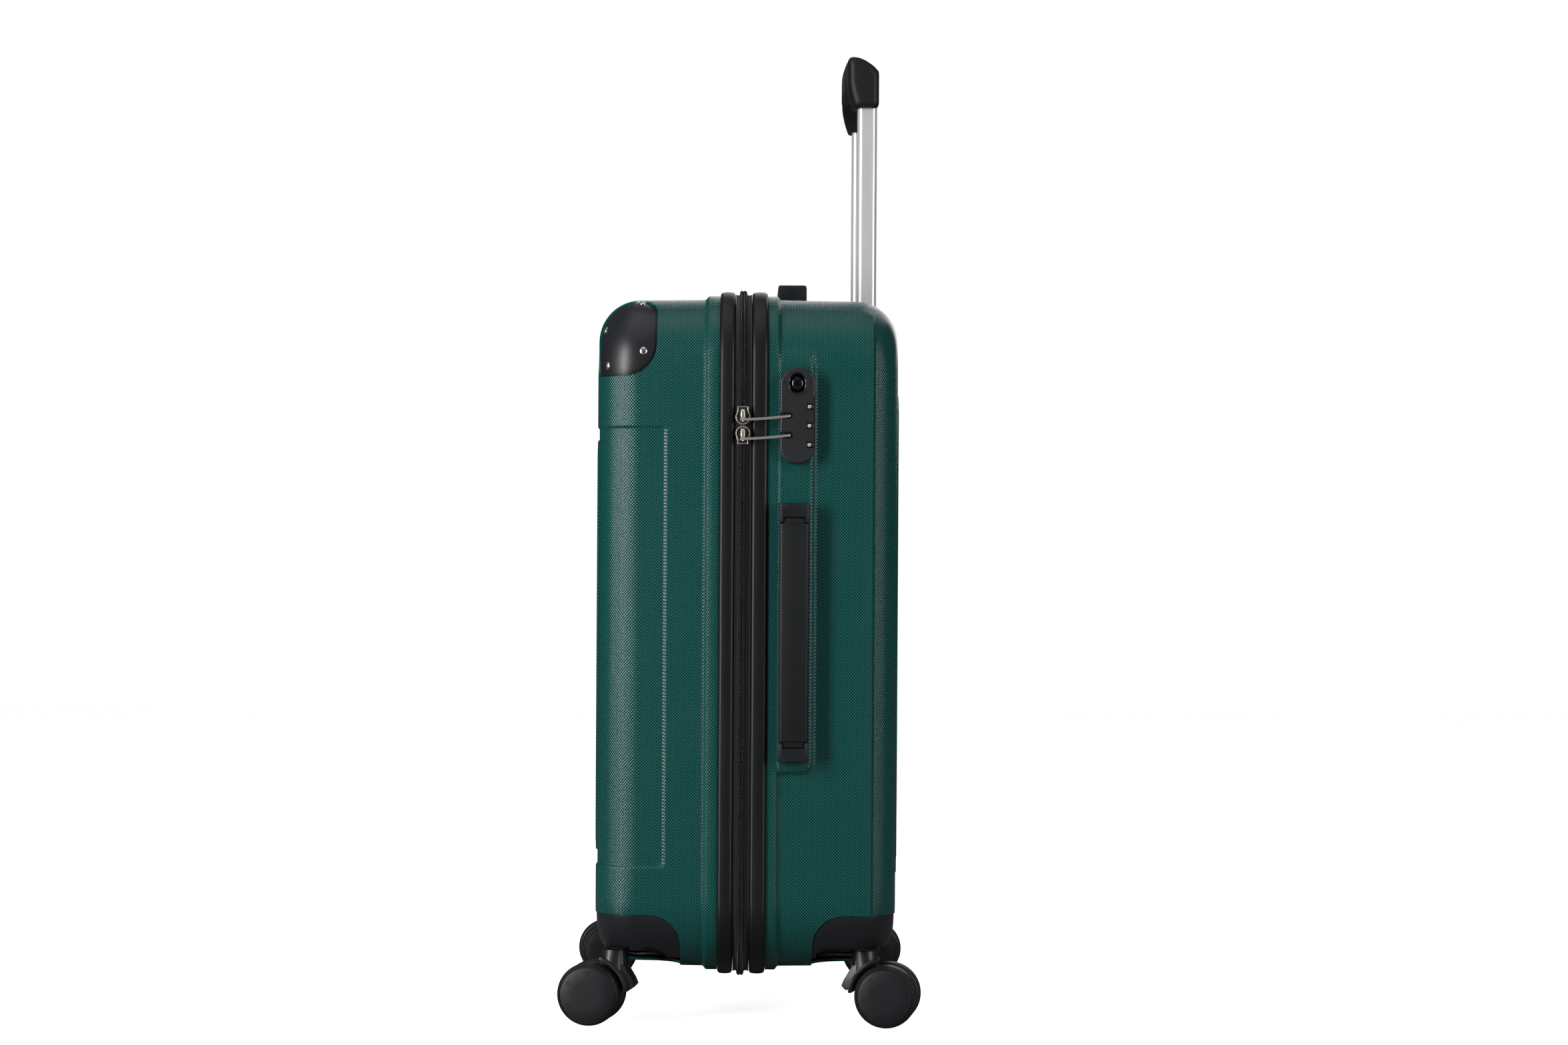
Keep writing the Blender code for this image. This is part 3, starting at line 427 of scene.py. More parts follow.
def mergeFlat(piece, angle=1.0):  # loose or cut triangles back to whole flat faces
    bm = bmesh.new()
    bm.from_mesh(piece.data)
    bmesh.ops.remove_doubles(bm, verts=bm.verts, dist=2e-6)
    bmesh.ops.dissolve_limit(bm, angle_limit=math.radians(angle), verts=bm.verts, edges=bm.edges)
    bm.to_mesh(piece.data)
    bm.free()
    return piece


def copyNode(node, name, width=0.0, segments=2, angle=35.0):
    piece = toObject(name, frame["nodes"][node].data.copy())
    piece.data.materials.clear()
    mergeFlat(piece)
    if width:
        bevelled(piece, width, segments, angle)
    return piece


def finishPiece(piece, material, body, stands=(), shift=True, angle=35.0, shade=False):
    if shift:
        piece.data.transform(Matrix.Translation((caseX, 0, 0)))
    if material:
        piece.data.materials.clear()
        piece.data.materials.append(material)
    smoothShade(piece.data, angle)
    if shade:
        even = piece.modifiers.new("even", "WEIGHTED_NORMAL")
        even.keep_sharp = True
        even.weight = 90
        evaluated(piece)
    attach(piece, body)
    if stands:
        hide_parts(*stands)
    return piece


def easeStep(x, low, high):
    t = np.clip((np.asarray(x, float) - low) / (high - low), 0, 1)
    return t * t * (3 - 2 * t)


def insideBox(x, y, low, high, radius):  # distance into a rounded box, negative outside
    cx, cy = (low[0] + high[0]) / 2, (low[1] + high[1]) / 2
    hx, hy = (high[0] - low[0]) / 2 - radius, (high[1] - low[1]) / 2 - radius
    qx, qy = np.abs(x - cx) - hx, np.abs(y - cy) - hy
    out = np.hypot(np.maximum(qx, 0), np.maximum(qy, 0)) + np.minimum(np.maximum(qx, qy), 0)
    return radius - out


# the case outline, seen from the front

case = {"side": 0.215, "bottom": 0.049, "top": 0.620, "corner": 0.060, "edge": 0.036,
        "wall": 0.0024, "cornerSteps": 16}


def levels(low, high, step, close, around):
    # even levels, with more of them close to the places where the surface steps
    wanted = set(np.round(np.linspace(low, high, max(2, round((high - low) / step) + 1)), 6))
    for place in around:
        wanted = {w for w in wanted if abs(w - place) > 1.5 * close[-1] or w in (low, high)}
    for place in around:
        wanted |= {round(place + sign * c, 6) for c in (*close, 0.0) for sign in (-1, 1)}
    return np.array(sorted(w for w in wanted if low <= w <= high))


def walkOutline(zLevels, xLevels):
    # columns of (core x, core z, outward x, outward z, length so far), back to the start
    r, half = case["corner"], case["side"] - case["corner"]
    low, high = case["bottom"] + r, case["top"] - r
    stops = []
    runs = (([(half, z) for z in zLevels], 0, (half, high)),
            ([(x, high) for x in xLevels[::-1]], 90, (-half, high)),
            ([(-half, z) for z in zLevels[::-1]], 180, (-half, low)),
            ([(x, low) for x in xLevels], 270, (half, low)))
    for straight, turn, corner in runs:
        out = (round(math.cos(math.radians(turn))), round(math.sin(math.radians(turn))))
        stops += [(*core, *out) for core in straight]
        for i in range(1, case["cornerSteps"]):
            t = math.radians(turn + 90 * i / case["cornerSteps"])
            stops.append((*corner, math.cos(t), math.sin(t)))
    stops.append(stops[0])
    walk = np.array(stops, float)
    places = walk[:, :2] + walk[:, 2:4] * r
    steps = np.hypot(*np.diff(places, axis=0).T)
    return np.column_stack([walk, np.concatenate([[0], np.cumsum(steps)])])


def plainWalk(step=0.02):
    half = case["side"] - case["corner"]
    low, high = case["bottom"] + case["corner"], case["top"] - case["corner"]
    return walkOutline(np.linspace(low, high, round((high - low) / step)),
                       np.linspace(-half, half, round(2 * half / step)))


def hoop(walk, section):
    # section is (grow, y) pairs; grids are rows along the section and columns round the case
    section = np.array(section, float)
    reach = case["corner"] + section[:, 0][:, None]
    x = walk[None, :, 0] + walk[None, :, 2] * reach
    z = walk[None, :, 1] + walk[None, :, 3] * reach
    y = np.repeat(section[:, 1][:, None], len(walk), 1)
    along = np.concatenate([[0], np.cumsum(np.hypot(*np.diff(section, axis=0).T))])
    uv = np.stack([np.repeat(along[:, None], len(walk), 1),
                   np.repeat(walk[None, :, 4], len(section), 0)], -1)
    return np.stack([x, y, z], -1), uv


# shells

front = {"face": -0.1232, "edgeAt": -0.0198, "rim": (-0.0288, -0.0326), "proud": 0.0032,
         "crown": 0.0008,
         "belt": {"y": -0.0648, "z": (0.138, 0.508), "depth": 0.0014, "run": 0.0013},
         "panel": {"x": 0.163, "z": (0.147, 0.500), "height": 0.0026, "run": 0.0018}}
rear = {"face": 0.1318, "edgeAt": 0.0213, "rim": (0.0290, 0.0326), "proud": 0.0032,
        "crown": 0.0008,
        "pad": {"y": (0.0, 0.0595), "z": (0.2175, 0.5705), "height": 0.0035, "run": 0.0026},
        "panel": {"x": 0.163, "z": (0.128, 0.540), "height": 0.0018, "run": 0.0018}}


def shellProfile(size, towards):
    # rows of (grow, y, outward part of the normal, y part of the normal), from rim to face
    r, face = case["edge"], size["face"]
    side = face - towards * r
    rows = [(size["proud"], size["edgeAt"], 1, 0),
            (size["proud"], size["edgeAt"] + towards * 0.0030, 1, 0)]
    for i in range(9):
        t = i / 8
        y = size["rim"][0] + (size["rim"][1] - size["rim"][0]) * t
        ease = t * t * (3 - 2 * t)
        slope = 6 * t * (1 - t) * size["proud"] / abs(size["rim"][1] - size["rim"][0])
        length = math.hypot(1, slope)
        rows.append((size["proud"] * (1 - ease), y, 1 / length, towards * slope / length))
    if "belt" in size:
        cuts = levels(abs(size["rim"][1]) + 0.002, abs(side), 0.008,
                      (0.0006, 0.0012, 0.0018, 0.003), [abs(size["belt"]["y"])])
    else:
        cuts = levels(abs(size["rim"][1]) + 0.002, abs(side), 0.008,
                      (0.0008, 0.0016, 0.0026, 0.004), [size["pad"]["y"][1]])
    for y in cuts:
        share = (abs(side) - y) / (abs(side) - abs(size["rim"][1]))
        rows.append((-size["crown"] * (1 - share), towards * y, 1, 0))
    for i in range(1, 25):
        t = math.radians(90 * i / 24)
        rows.append((-r + (r - size["crown"]) * math.cos(t), side + towards * r * math.sin(t),
                     math.cos(t), towards * math.sin(t)))
    for grow in (0.0395, 0.044, 0.0475, 0.0490, 0.0502, 0.0514, 0.0526, 0.0538, 0.0552, 0.060):
        rows.append((-grow, face, 0, towards))
    return np.array(rows, float)


def liftOf(size, towards, x, y, z, flatX):
    # how far the surface stands off along its normal; flatX is x unrolled past the edge
    panel = size["panel"]
    run = panel["run"]
    into = insideBox(flatX, z, (-panel["x"], panel["z"][0]), (panel["x"], panel["z"][1]), 0.012)
    lift = panel["height"] * easeStep(into, -run, run)
    onFace = easeStep(np.abs(y), abs(size["face"]) - 0.004, abs(size["face"]) - 0.0005)
    lift = lift * onFace
    if "belt" in size:
        belt = size["belt"]
        into = insideBox(np.abs(y), z, (abs(belt["y"]), belt["z"][0]), (0.4, belt["z"][1]), 0.003)
        lift = lift - belt["depth"] * easeStep(into, -belt["run"], belt["run"])
    return lift


def buildShell(name, size, towards):
    r, half = case["corner"], case["side"] - case["corner"]
    low, high = case["bottom"] + r, case["top"] - r
    around = list(size["panel"]["z"])
    around += list(size["belt"]["z"]) if "belt" in size else list(size["pad"]["z"])
    zLevels = levels(low, high, 0.012, (0.0006, 0.0012, 0.0018, 0.0026, 0.004), around)
    if "pad" in size:
        extra = [size["pad"]["z"][1] - k for k in (0.006, 0.008, 0.011)]
        extra += [size["pad"]["z"][0] + k for k in (0.006, 0.008, 0.011)]
        zLevels = np.array(sorted(set(zLevels) | {round(e, 6) for e in extra if low < e < high}))
    xLevels = np.linspace(-half, half, 27)
    walk = walkOutline(zLevels, xLevels)
    rows = shellProfile(size, towards)
    points, uv = hoop(walk, rows[:, :2])
    normal = np.stack([walk[None, :, 2] * rows[:, 2][:, None],
                       np.repeat(rows[:, 3][:, None], len(walk), 1),
                       walk[None, :, 3] * rows[:, 2][:, None]], -1)
    x, y, z = points[..., 0], points[..., 1], points[..., 2]
    lift = liftOf(size, towards, x, y, z, x)
    if "pad" in size:  # the raised pad of the lock and the side handle
        pad = size["pad"]
        into = insideBox(y, z, (pad["y"][0], pad["z"][0]), (pad["y"][1], pad["z"][1]), 0.009)
        pressed = pad["height"] * easeStep(into, -pad["run"], pad["run"])
        level = rows[:, 0][:, None]
        onSide = (walk[None, :, 2] > 0.6) & (level > -0.004)
        stand = np.where(onSide, np.maximum(level, pressed) - level, 0.0)
        stand = np.where(rows[:, 2][:, None] < 0.9, np.minimum(stand, 0.004), stand)
        points[..., 0] += stand
    points = points + normal * lift[..., None]
    corner = np.sqrt(np.clip((2 * walk[:, 2] * walk[:, 3]) ** 2, 0, 1))[None, :]
    onEdge = easeStep(-rows[:, 0], 0.004, 0.016)[:, None]
    fade = (1 - corner * onEdge) * easeStep(z, 0.050, 0.078)
    fades = np.stack([fade, np.zeros_like(fade)], -1)
    gridX, gridZ = np.meshgrid(xLevels, zLevels, indexing="ij")
    flat = np.full_like(gridX, size["face"])
    flatLift = liftOf(size, towards, gridX, flat, gridZ, gridX)
    middle = np.stack([gridX, flat + towards * flatLift, gridZ], -1)
    middleUv = np.stack([gridX, gridZ], -1)
    ones = np.stack([np.ones_like(gridX), np.zeros_like(gridX)], -1)
    piece = gridsToObject(name, [(points, {"sheet": uv, "fade": fades}),
                                 (middle, {"sheet": middleUv, "fade": ones})])
    solid = piece.modifiers.new("wall", "SOLIDIFY")
    solid.thickness = case["wall"]
    solid.offset = -1.0
    solid.use_even_offset = True
    return evaluated(piece)


def cornerBlock(side, towards, inner, up, radius, slack=0.0, segments=8):
    x, y, z = inner[0] - slack, inner[1] - slack, inner[2] - up * slack
    farX, farY, farZ = 0.260, 0.180, 0.700 if up > 0 else 0.010
    bm = boxMesh((min(side * x, side * farX), min(towards * y, towards * farY), min(z, farZ)),
                 (max(side * x, side * farX), max(towards * y, towards * farY), max(z, farZ)))
    planes = ((0, side * x), (1, towards * y), (2, z))
    edges = [edge for edge in bm.edges
             if sum(all(abs(v.co[i] - at) < 1e-7 for v in edge.verts) for i, at in planes) == 2]
    bmesh.ops.bevel(bm, geom=edges, offset=radius, segments=segments, profile=0.5, affect="EDGES")
    return bmToObject("block", bm)


def caseForm(size, towards, grow, cornerSteps=24):
    r, face = case["edge"], size["face"]
    kept, case["cornerSteps"] = case["cornerSteps"], cornerSteps
    walk = plainWalk(0.04)
    case["cornerSteps"] = kept
    rings = []
    for i in range(13):
        t = math.radians(90 * i / 12)
        rings.append((-r + (r + grow) * math.sin(t),
                      face - towards * r + towards * (r + grow) * math.cos(t)))
    rings.append((grow, towards * 0.010))
    loops = []
    for g, y in rings:
        reach = case["corner"] + g
        loops.append([(w[0] + w[2] * reach, y, w[1] + w[3] * reach) for w in walk[:-1]])
    return bmToObject("form", loftRings(loops))


pocket = {"inner": (0.165, 0.073, 0.551), "radius": 0.027, "depth": 0.0046}
housing = {"front": (0.128, 0.0513, 0.097), "rear": (0.128, 0.0613, 0.097), "radius": 0.026,
           "wall": 0.0030, "sunk": -0.0008}
frontShell = buildShell("frontShell", front, -1)
rearShell = buildShell("rearShell", rear, 1)
for shellPiece, end, towards in ((frontShell, "front", -1), (rearShell, "rear", 1)):
    for side in (1, -1):
        block = cornerBlock(side, towards, housing[end], -1, housing["radius"], 0.0003)
        combine(shellPiece, "DIFFERENCE", block)
for side in (1, -1):  # the shallow pockets that the corner guards sit in
    sunk = cornerBlock(side, -1, pocket["inner"], 1, pocket["radius"], 0.0002, 12)
    combine(sunk, "DIFFERENCE", caseForm(front, -1, -pocket["depth"]))
    combine(frontShell, "DIFFERENCE", sunk)
trayBox = [c - Vector((caseX, 0, 0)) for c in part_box("trolley_tray")]
hole = boxMesh((trayBox[0].x, trayBox[0].y, 0.578), (trayBox[1].x, trayBox[1].y, 0.700))
combine(rearShell, "DIFFERENCE", bmToObject("hole", hole))
finishPiece(frontShell, greenShell, "front_case", ["front_shell"])
finishPiece(rearShell, greenShell, "rear_case", ["rear_shell"])
print("shells")


# bands, zipper tape and coil

band = {"front": (-0.0195, -0.0067), "rear": (0.0075, 0.0210), "proud": 0.0067, "inner": -0.0020,
        "round": 0.0030, "crown": 0.0003}


def bandSection(y0, y1):
    r, top = band["round"], band["proud"] - band["crown"]
    section = [(band["inner"], y0), (top - r, y0)]
    section += [(top - r + r * math.sin(math.radians(a)), y0 + r - r * math.cos(math.radians(a)))
                for a in range(12, 90, 13)]
    for share in (0.0, 0.25, 0.5, 0.75, 1.0):
        y = y0 + r + (y1 - y0 - 2 * r) * share
        section.append((top + band["crown"] * math.sin(math.pi * share), y))
    section += [(top - r + r * math.sin(math.radians(a)), y1 - r + r * math.cos(math.radians(a)))
                for a in range(77, 0, -13)]
    section += [(top - r, y1), (band["inner"], y1), (band["inner"], y0)]
    return section


bandWalk = plainWalk(0.03)
for end in ("front", "rear"):
    points, uv = hoop(bandWalk, bandSection(*band[end]))
    piece = gridsToObject(end + "Band", [(points, {"sheet": uv})])
    finishPiece(piece, bandRubber, end + "_case", [end + "_band"])

tape = {"proud": 0.0046, "inner": -0.0004, "sag": 0.0006, "clear": 0.0011, "flap": 0.0038}
for end, far in (("front", -0.0064), ("rear", 0.0072)):
    near = math.copysign(tape["clear"], far)
    section = [(tape["inner"], near)]
    if end == "rear":  # a flap under the teeth, past the middle
        flap = -near + 0.0001
        section = [(tape["inner"], flap), (tape["flap"], flap), (tape["flap"], near)]
    for share in (0.0, 0.3, 0.45, 0.6, 0.75, 0.9, 1.0):
        sag = tape["sag"] * math.sin(math.pi * max(0.0, share - 0.3) / 0.7)
        section.append((tape["proud"] - sag, near + (far - near) * share))
    section += [(tape["inner"], far), section[0]]
    points, uv = hoop(bandWalk, section)
    piece = gridsToObject(end + "ZipTape", [(points, {"sheet": uv})])
    finishPiece(piece, zipTape, end + "_case", [end + "_zip_tape"])
print("bands and tape")


# geometry node trees

def nodeTree(name, inputs):
    tree = bpy.data.node_groups.new(name, "GeometryNodeTree")
    tree.interface.new_socket("Geometry", in_out="INPUT", socket_type="NodeSocketGeometry")
    tree.interface.new_socket("Geometry", in_out="OUTPUT", socket_type="NodeSocketGeometry")
    for label, kind, value in inputs:
        socket = tree.interface.new_socket(label, in_out="INPUT", socket_type=kind)
        if value is not None:
            socket.default_value = value
    return tree, tree.nodes.new("NodeGroupInput"), tree.nodes.new("NodeGroupOutput")


def applyTree(piece, tree, **values):
    modifier = piece.modifiers.new(tree.name, "NODES")
    modifier.node_group = tree
    for item in tree.interface.items_tree:
        if item.item_type == "SOCKET" and item.in_out == "INPUT" and item.name in values:
            modifier[item.identifier] = values[item.name]
    return evaluated(piece)


def endTree(tree, instances, given, result, smooth=False, keepGiven=False):
    real = addNode(tree, "GeometryNodeRealizeInstances", {0: instances})
    if smooth:
        real = addNode(tree, "GeometryNodeSetShadeSmooth", {0: real})
    if keepGiven:
        real = addNode(tree, "GeometryNodeJoinGeometry", {0: real})
        tree.links.new(given.outputs["Geometry"], real.node.inputs[0])
    painted = addNode(tree, "GeometryNodeSetMaterial",
                      {"Geometry": real, "Material": given.outputs["Material"]})
    tree.links.new(painted, result.inputs[0])
    return tree


def makeCoilTree():  # one row of interlocking teeth along a path round the case
    tree, given, result = nodeTree("coilTeeth", [
        ("Pitch", "NodeSocketFloat", 0.0015), ("Reach", "NodeSocketFloat", 0.0031),
        ("Height", "NodeSocketFloat", 0.0040), ("Thick", "NodeSocketFloat", 0.0006),
        ("Side", "NodeSocketFloat", 1.0), ("Material", "NodeSocketMaterial", None)])

    def moved(geometry, **change):
        return addNode(tree, "GeometryNodeTransform", {"Geometry": geometry, **change})

    def vector(x, y=0.0, z=0.0):
        return addNode(tree, "ShaderNodeCombineXYZ", {0: x, 1: y, 2: z})

    half = mathNode(tree, "MULTIPLY", given.outputs["Reach"], 0.5)
    path = addNode(tree, "GeometryNodeMeshToCurve", {0: given.outputs["Geometry"]})
    spaced = addNode(tree, "GeometryNodeResampleCurve",
                     {"Curve": path, "Length": given.outputs["Pitch"]}, mode="LENGTH")
    bend = addNode(tree, "GeometryNodeCurveArc",  # the loop of one tooth, over the tape
                   {"Resolution": 6, "Radius": 1.0, "Start Angle": math.radians(-6),
                    "Sweep Angle": math.radians(158)}, mode="RADIUS")
    wire = addNode(tree, "GeometryNodeCurvePrimitiveCircle",
                   {"Resolution": 6, "Radius": given.outputs["Thick"]})
    shape = moved(bend, Scale=vector(half, given.outputs["Height"], 1.0))
    shape = moved(shape, Translation=vector(half))
    shape = moved(shape, Rotation=(0.0, 0.0, math.radians(-90)))  # its height outwards, along X
    flip = mathNode(tree, "MULTIPLY", given.outputs["Side"], -1.0)
    shape = moved(shape, Scale=vector(1.0, flip, 1.0))
    tooth = addNode(tree, "GeometryNodeCurveToMesh",
                    {"Curve": shape, "Profile Curve": wire, "Fill Caps": True})
    turn = addNode(tree, "FunctionNodeAlignRotationToVector",
                   {"Vector": addNode(tree, "GeometryNodeInputTangent")}, axis="Z", pivot_axis="Y")
    spread = addNode(tree, "GeometryNodeInstanceOnPoints",
                     {"Points": spaced, "Instance": tooth, "Rotation": turn})
    return endTree(tree, spread, given, result, smooth=True)


coil = {"pitch": 0.00150, "reach": 0.0027, "height": 0.0030, "thick": 0.00056, "base": 0.0046,
        "end": -0.150}
coilTree = makeCoilTree()
coilWalk = plainWalk(0.006)


def coilPath(grow, shift):  # up the lock side: from the bottom hinge corner round to the top one
    reach = case["corner"] + grow
    places = [(w[0] + w[2] * reach, w[1] + w[3] * reach) for w in coilWalk[:-1]]
    top = [p for p in places if p[1] > 0.3 and p[0] > coil["end"]]
    bottom = [p for p in places if p[1] <= 0.3 and p[0] > coil["end"]]
    start = min(range(len(bottom)), key=lambda i: (bottom[i][1] > 0.06, bottom[i][0]))
    path = bottom[start:] + bottom[:start] + top
    bm = bmesh.new()
    verts = [bm.verts.new((x, 0.0, z)) for x, z in path]
    slide = (verts[1].co - verts[0].co).normalized() * shift
    verts[0].co += slide
    for a, b in zip(verts, verts[1:]):
        bm.edges.new((a, b))
    mesh = bpy.data.meshes.new("coilPath")
    bm.to_mesh(mesh)
    bm.free()
    return mesh


for end, sideSign in (("front", -1.0), ("rear", 1.0)):
    shift = 0.0 if end == "front" else coil["pitch"] / 2
    piece = toObject(end + "ZipCoil", coilPath(coil["base"], shift))
    applyTree(piece, coilTree, Pitch=coil["pitch"], Reach=coil["reach"], Height=coil["height"],
              Thick=coil["thick"], Side=sideSign, Material=coilNylon)
    finishPiece(piece, None, end + "_case", [end + "_zip_coil"], angle=80.0)


# the lock on its pad

lock = {"y": (0.0310, 0.0605), "z": (0.477, 0.558), "foot": 0.2166, "face": 0.2270, "round": 0.0017,
        "key": (0.0455, 0.5445), "bowl": (0.0071, 0.0093), "buttonRound": 0.0105,
        "floor": 0.2208, "seam": 0.00032}
zero = {"half": (0.00088, 0.00102), "stroke": 0.00036, "raise": 0.00016}
dial = {"x": 0.2221, "y": 0.0548, "radius": 0.0045, "tall": 0.0046, "z": (0.5250, 0.5090, 0.4930),
        "window": (0.0537, 0.0583), "digit": 0.0030}
slot = {"z": ((0.5147, 0.5203), (0.4984, 0.5040)), "end": 0.0417, "floor": 0.2212}


def capsule(inset=0.0, steps=22):
    half = (lock["y"][1] - lock["y"][0]) / 2 - inset
    middle = (lock["y"][0] + lock["y"][1]) / 2
    top = arc((middle, lock["z"][1] - inset - half), half, 0, 180, steps)
    return top + arc((middle, lock["z"][0] + inset + half), half, 180, 360, steps)


def capsuleSolid(name, low, face):
    r = lock["round"]
    stages = [(0.0, low), (0.0, face - r)]
    stages += [(r * (1 - math.cos(t)), face - r * (1 - math.sin(t)))
               for t in (math.radians(a) for a in range(12, 91, 13))]
    return bmToObject(name, loftRings([[(x, a, b) for a, b in capsule(inset)]
                                       for inset, x in stages]))


def buttonOutline(slack=0.0):
    y, z = lock["key"]
    flare = ((0.0108, 0.5478), (0.0120, 0.5512), (0.0142, 0.5545), (0.0190, 0.5600),
             (0.0190, 0.5700))
    points = arc((y, z), lock["buttonRound"] + slack, 180, 360, 24)
    points += [(y + wide + slack, high) for wide, high in flare]
    return points + [(y - wide - slack, high) for wide, high in flare[::-1]]


def cutBox(piece, low, high):
    return combine(piece, "DIFFERENCE", bmToObject("cut", boxMesh(low, high)))


def cutPrism(piece, points, axis, low, high, operation="DIFFERENCE"):
    return combine(piece, operation, bmToObject("cut", prism(points, axis, low, high)))


lockBody = capsuleSolid("lockBody", lock["foot"], lock["face"])
cutPrism(lockBody, buttonOutline(lock["seam"]), "X", lock["floor"], 0.240)
cutBox(lockBody, (0.2228, lock["y"][1] - 0.0013, 0.482), (0.240, 0.070, 0.534))
for z in dial["z"]:
    reach = dial["tall"] / 2 + 0.0003
    cutPrism(lockBody, arc((dial["x"], dial["y"]), dial["radius"] + 0.0003, 0, 360, 32)[:-1], "Z",
             z - reach, z + reach)
    cutBox(lockBody, (dial["x"] + 0.001, dial["window"][0], z - reach),
           (0.240, dial["window"][1], z + reach))
for low, high in slot["z"]:
    radius = (high - low) / 2
    points = [(0.020, low), *arc((slot["end"] - radius, low + radius), radius, -90, 90, 12)]
    cutPrism(lockBody, points + [(0.020, high)], "X", slot["floor"], 0.240)
mergeFlat(lockBody)
bevelled(lockBody, 0.00028, 2, 48)
finishPiece(lockBody, lockBlack, "rear_case", ["lock_body"], angle=40, shade=True)

lockButton = capsuleSolid("lockButton", lock["face"] - 0.0037, lock["face"] - 0.0002)
cutPrism(lockButton, buttonOutline(), "X", 0.215, 0.240, "INTERSECT")
oval = [(lock["key"][0] + lock["bowl"][0] * math.cos(t),
         lock["key"][1] + lock["bowl"][1] * math.sin(t))
        for t in (math.tau * i / 48 for i in range(48))]
cutPrism(lockButton, oval, "X", 0.215, 0.240)
mergeFlat(lockButton)
bevelled(lockButton, 0.00028, 2, 48)
finishPiece(lockButton, lockBlack, "lock_button", ["lock_button"],
            angle=40, shade=True)

rings = []
for grow, x in ((-0.00010, 0.2236), (-0.00010, 0.2264), (-0.0004, 0.22670), (-0.0009, 0.2266),
                (-0.0014, 0.2255), (-0.0017, 0.2240), (-0.0017, 0.2236)):
    squeeze = min(1.0, max(0.0, (0.2267 - x) / 0.0031)) * 0.5
    rings.append([(x, lock["key"][0] + (lock["bowl"][0] + grow * 0.35) * math.cos(t),
                   lock["key"][1] + (lock["bowl"][1] + grow - 0.0010 * squeeze) * math.sin(t))
                  for t in (math.tau * i / 48 for i in range(48))])
keyBowl = bmToObject("keyBowl", loftRings(rings, ends=False))
finishPiece(keyBowl, glossBlack, "lock_button", angle=50)

profile = [(0.0, 0.2211), (0.0063, 0.2211), (0.0063, 0.2238)]
profile += [(0.0063 - 0.0005 * (1 - math.cos(t)), 0.2238 + 0.0005 * math.sin(t))
            for t in (math.radians(a) for a in (30, 60, 90))]
profile += [(0.0055 * math.cos(t), 0.2243 + 0.0022 * math.sin(t))
            for t in (math.radians(a) for a in (0, 15, 30, 45, 60, 75, 90))]
keyCylinder = bmToObject("keyCylinder", turnedMesh(profile, "X", 48))
keyCylinder.data.transform(Matrix.Translation((0, *lock["key"])))
cutBox(keyCylinder, (0.2240, lock["key"][0] - 0.0005, lock["key"][1] - 0.0026),
       (0.240, lock["key"][0] + 0.0005, lock["key"][1] + 0.0026))
mergeFlat(keyCylinder, 0.5)
finishPiece(keyCylinder, glossBlack, "key_cylinder", ["key_cylinder"])


def digitMesh(number):  # one numeral, flat in YZ, facing +X
    if number == 0:
        bm = bmesh.new()
        rings = []
        for i in range(20):
            t = math.tau * i / 20
            out = Vector((0, math.cos(t), math.sin(t)))
            middle = Vector((0, zero["half"][0] * out.y, zero["half"][1] * out.z))
            rings.append([middle + out * zero["stroke"] * math.cos(a)
                          + Vector((zero["raise"] * math.sin(a), 0, 0))
                          for a in (math.tau * k / 8 for k in range(8))])
        return bmToObject("digit", loftRings(rings, ends=False)).data
    text = bpy.data.curves.new("digit", "FONT")
    text.body = str(number)
    text.size, text.extrude = dial["digit"], 0.00010
    text.align_x, text.align_y = "CENTER", "CENTER"
    text.resolution_u = 3
    piece = toObject("digit", text)
    graph = bpy.context.evaluated_depsgraph_get()
    mesh = bpy.data.meshes.new_from_object(piece.evaluated_get(graph), depsgraph=graph)
    bpy.data.objects.remove(piece, do_unlink=True)
    mesh.transform(Matrix(((0, 0, 1, 0), (1, 0, 0, 0), (0, 1, 0, 0), (0, 0, 0, 1))))
    return mesh


def joinMeshes(name, meshes):
    bm = bmesh.new()
    for mesh in meshes:
        bm.from_mesh(mesh)
    joined = bpy.data.meshes.new(name)
    bm.to_mesh(joined)
    bm.free()
    return toObject(name, joined)


for number, z in enumerate(dial["z"], 1):
    half, r = dial["tall"] / 2, dial["radius"]
    profile = [(0.0, -half), (r - 0.0006, -half), (r - 0.0002, -half + 0.0002), (r, -half + 0.0006),
               (r, half - 0.0006), (r - 0.0002, half - 0.0002), (r - 0.0006, half), (0.0, half)]
    wheel = bmToObject("lockDial" + str(number), turnedMesh(profile, "Z", 40))
    wheel.data.transform(Matrix.Translation((dial["x"], dial["y"], z)))
    finishPiece(wheel, glossBlack, "lock_dial_" + str(number),
                ["lock_dial_" + str(number)])
    numerals = []
    for figure in range(10):
        mesh = digitMesh(figure)
        mesh.transform(Matrix.Translation((dial["x"], dial["y"], z))
                       @ Matrix.Rotation(math.radians(8 - 36 * figure), 4, "Z")
                       @ Matrix.Translation((r + 0.00003, 0, 0)))
        numerals.append(mesh)
    ring = joinMeshes("lockNumerals" + str(number), numerals)
    finishPiece(ring, numeralWhite, "lock_dial_" + str(number))
for stray in [o for o in bpy.data.objects if o.name.startswith("digit")]:
    bpy.data.objects.remove(stray, do_unlink=True)
print("lock")


# zipper sliders and pullers

slider = {"x": 0.2234, "thick": 0.0016, "radius": 0.0062, "tab": 0.0045, "long": 0.0090,
          "upper": (0.5160, 1, 0.5138), "lower": (0.5025, -1, 0.4976), "pin": 0.2277}


def sliderOutline(z, tab):
    if tab > 0:
        points = arc((0.0, z), slider["radius"], -205, 25, 26)
    else:
        points = arc((0.0, z), slider["radius"], -25, 205, 26)
    half = [(0.0050, z + tab * 0.0046), (slider["tab"], z + tab * 0.0060),
            (slider["tab"] + 0.0002, z + tab * slider["long"])]
    ends = half + [(-y, at) for y, at in half[::-1]]
    return points + (ends if tab > 0 else ends[::-1])


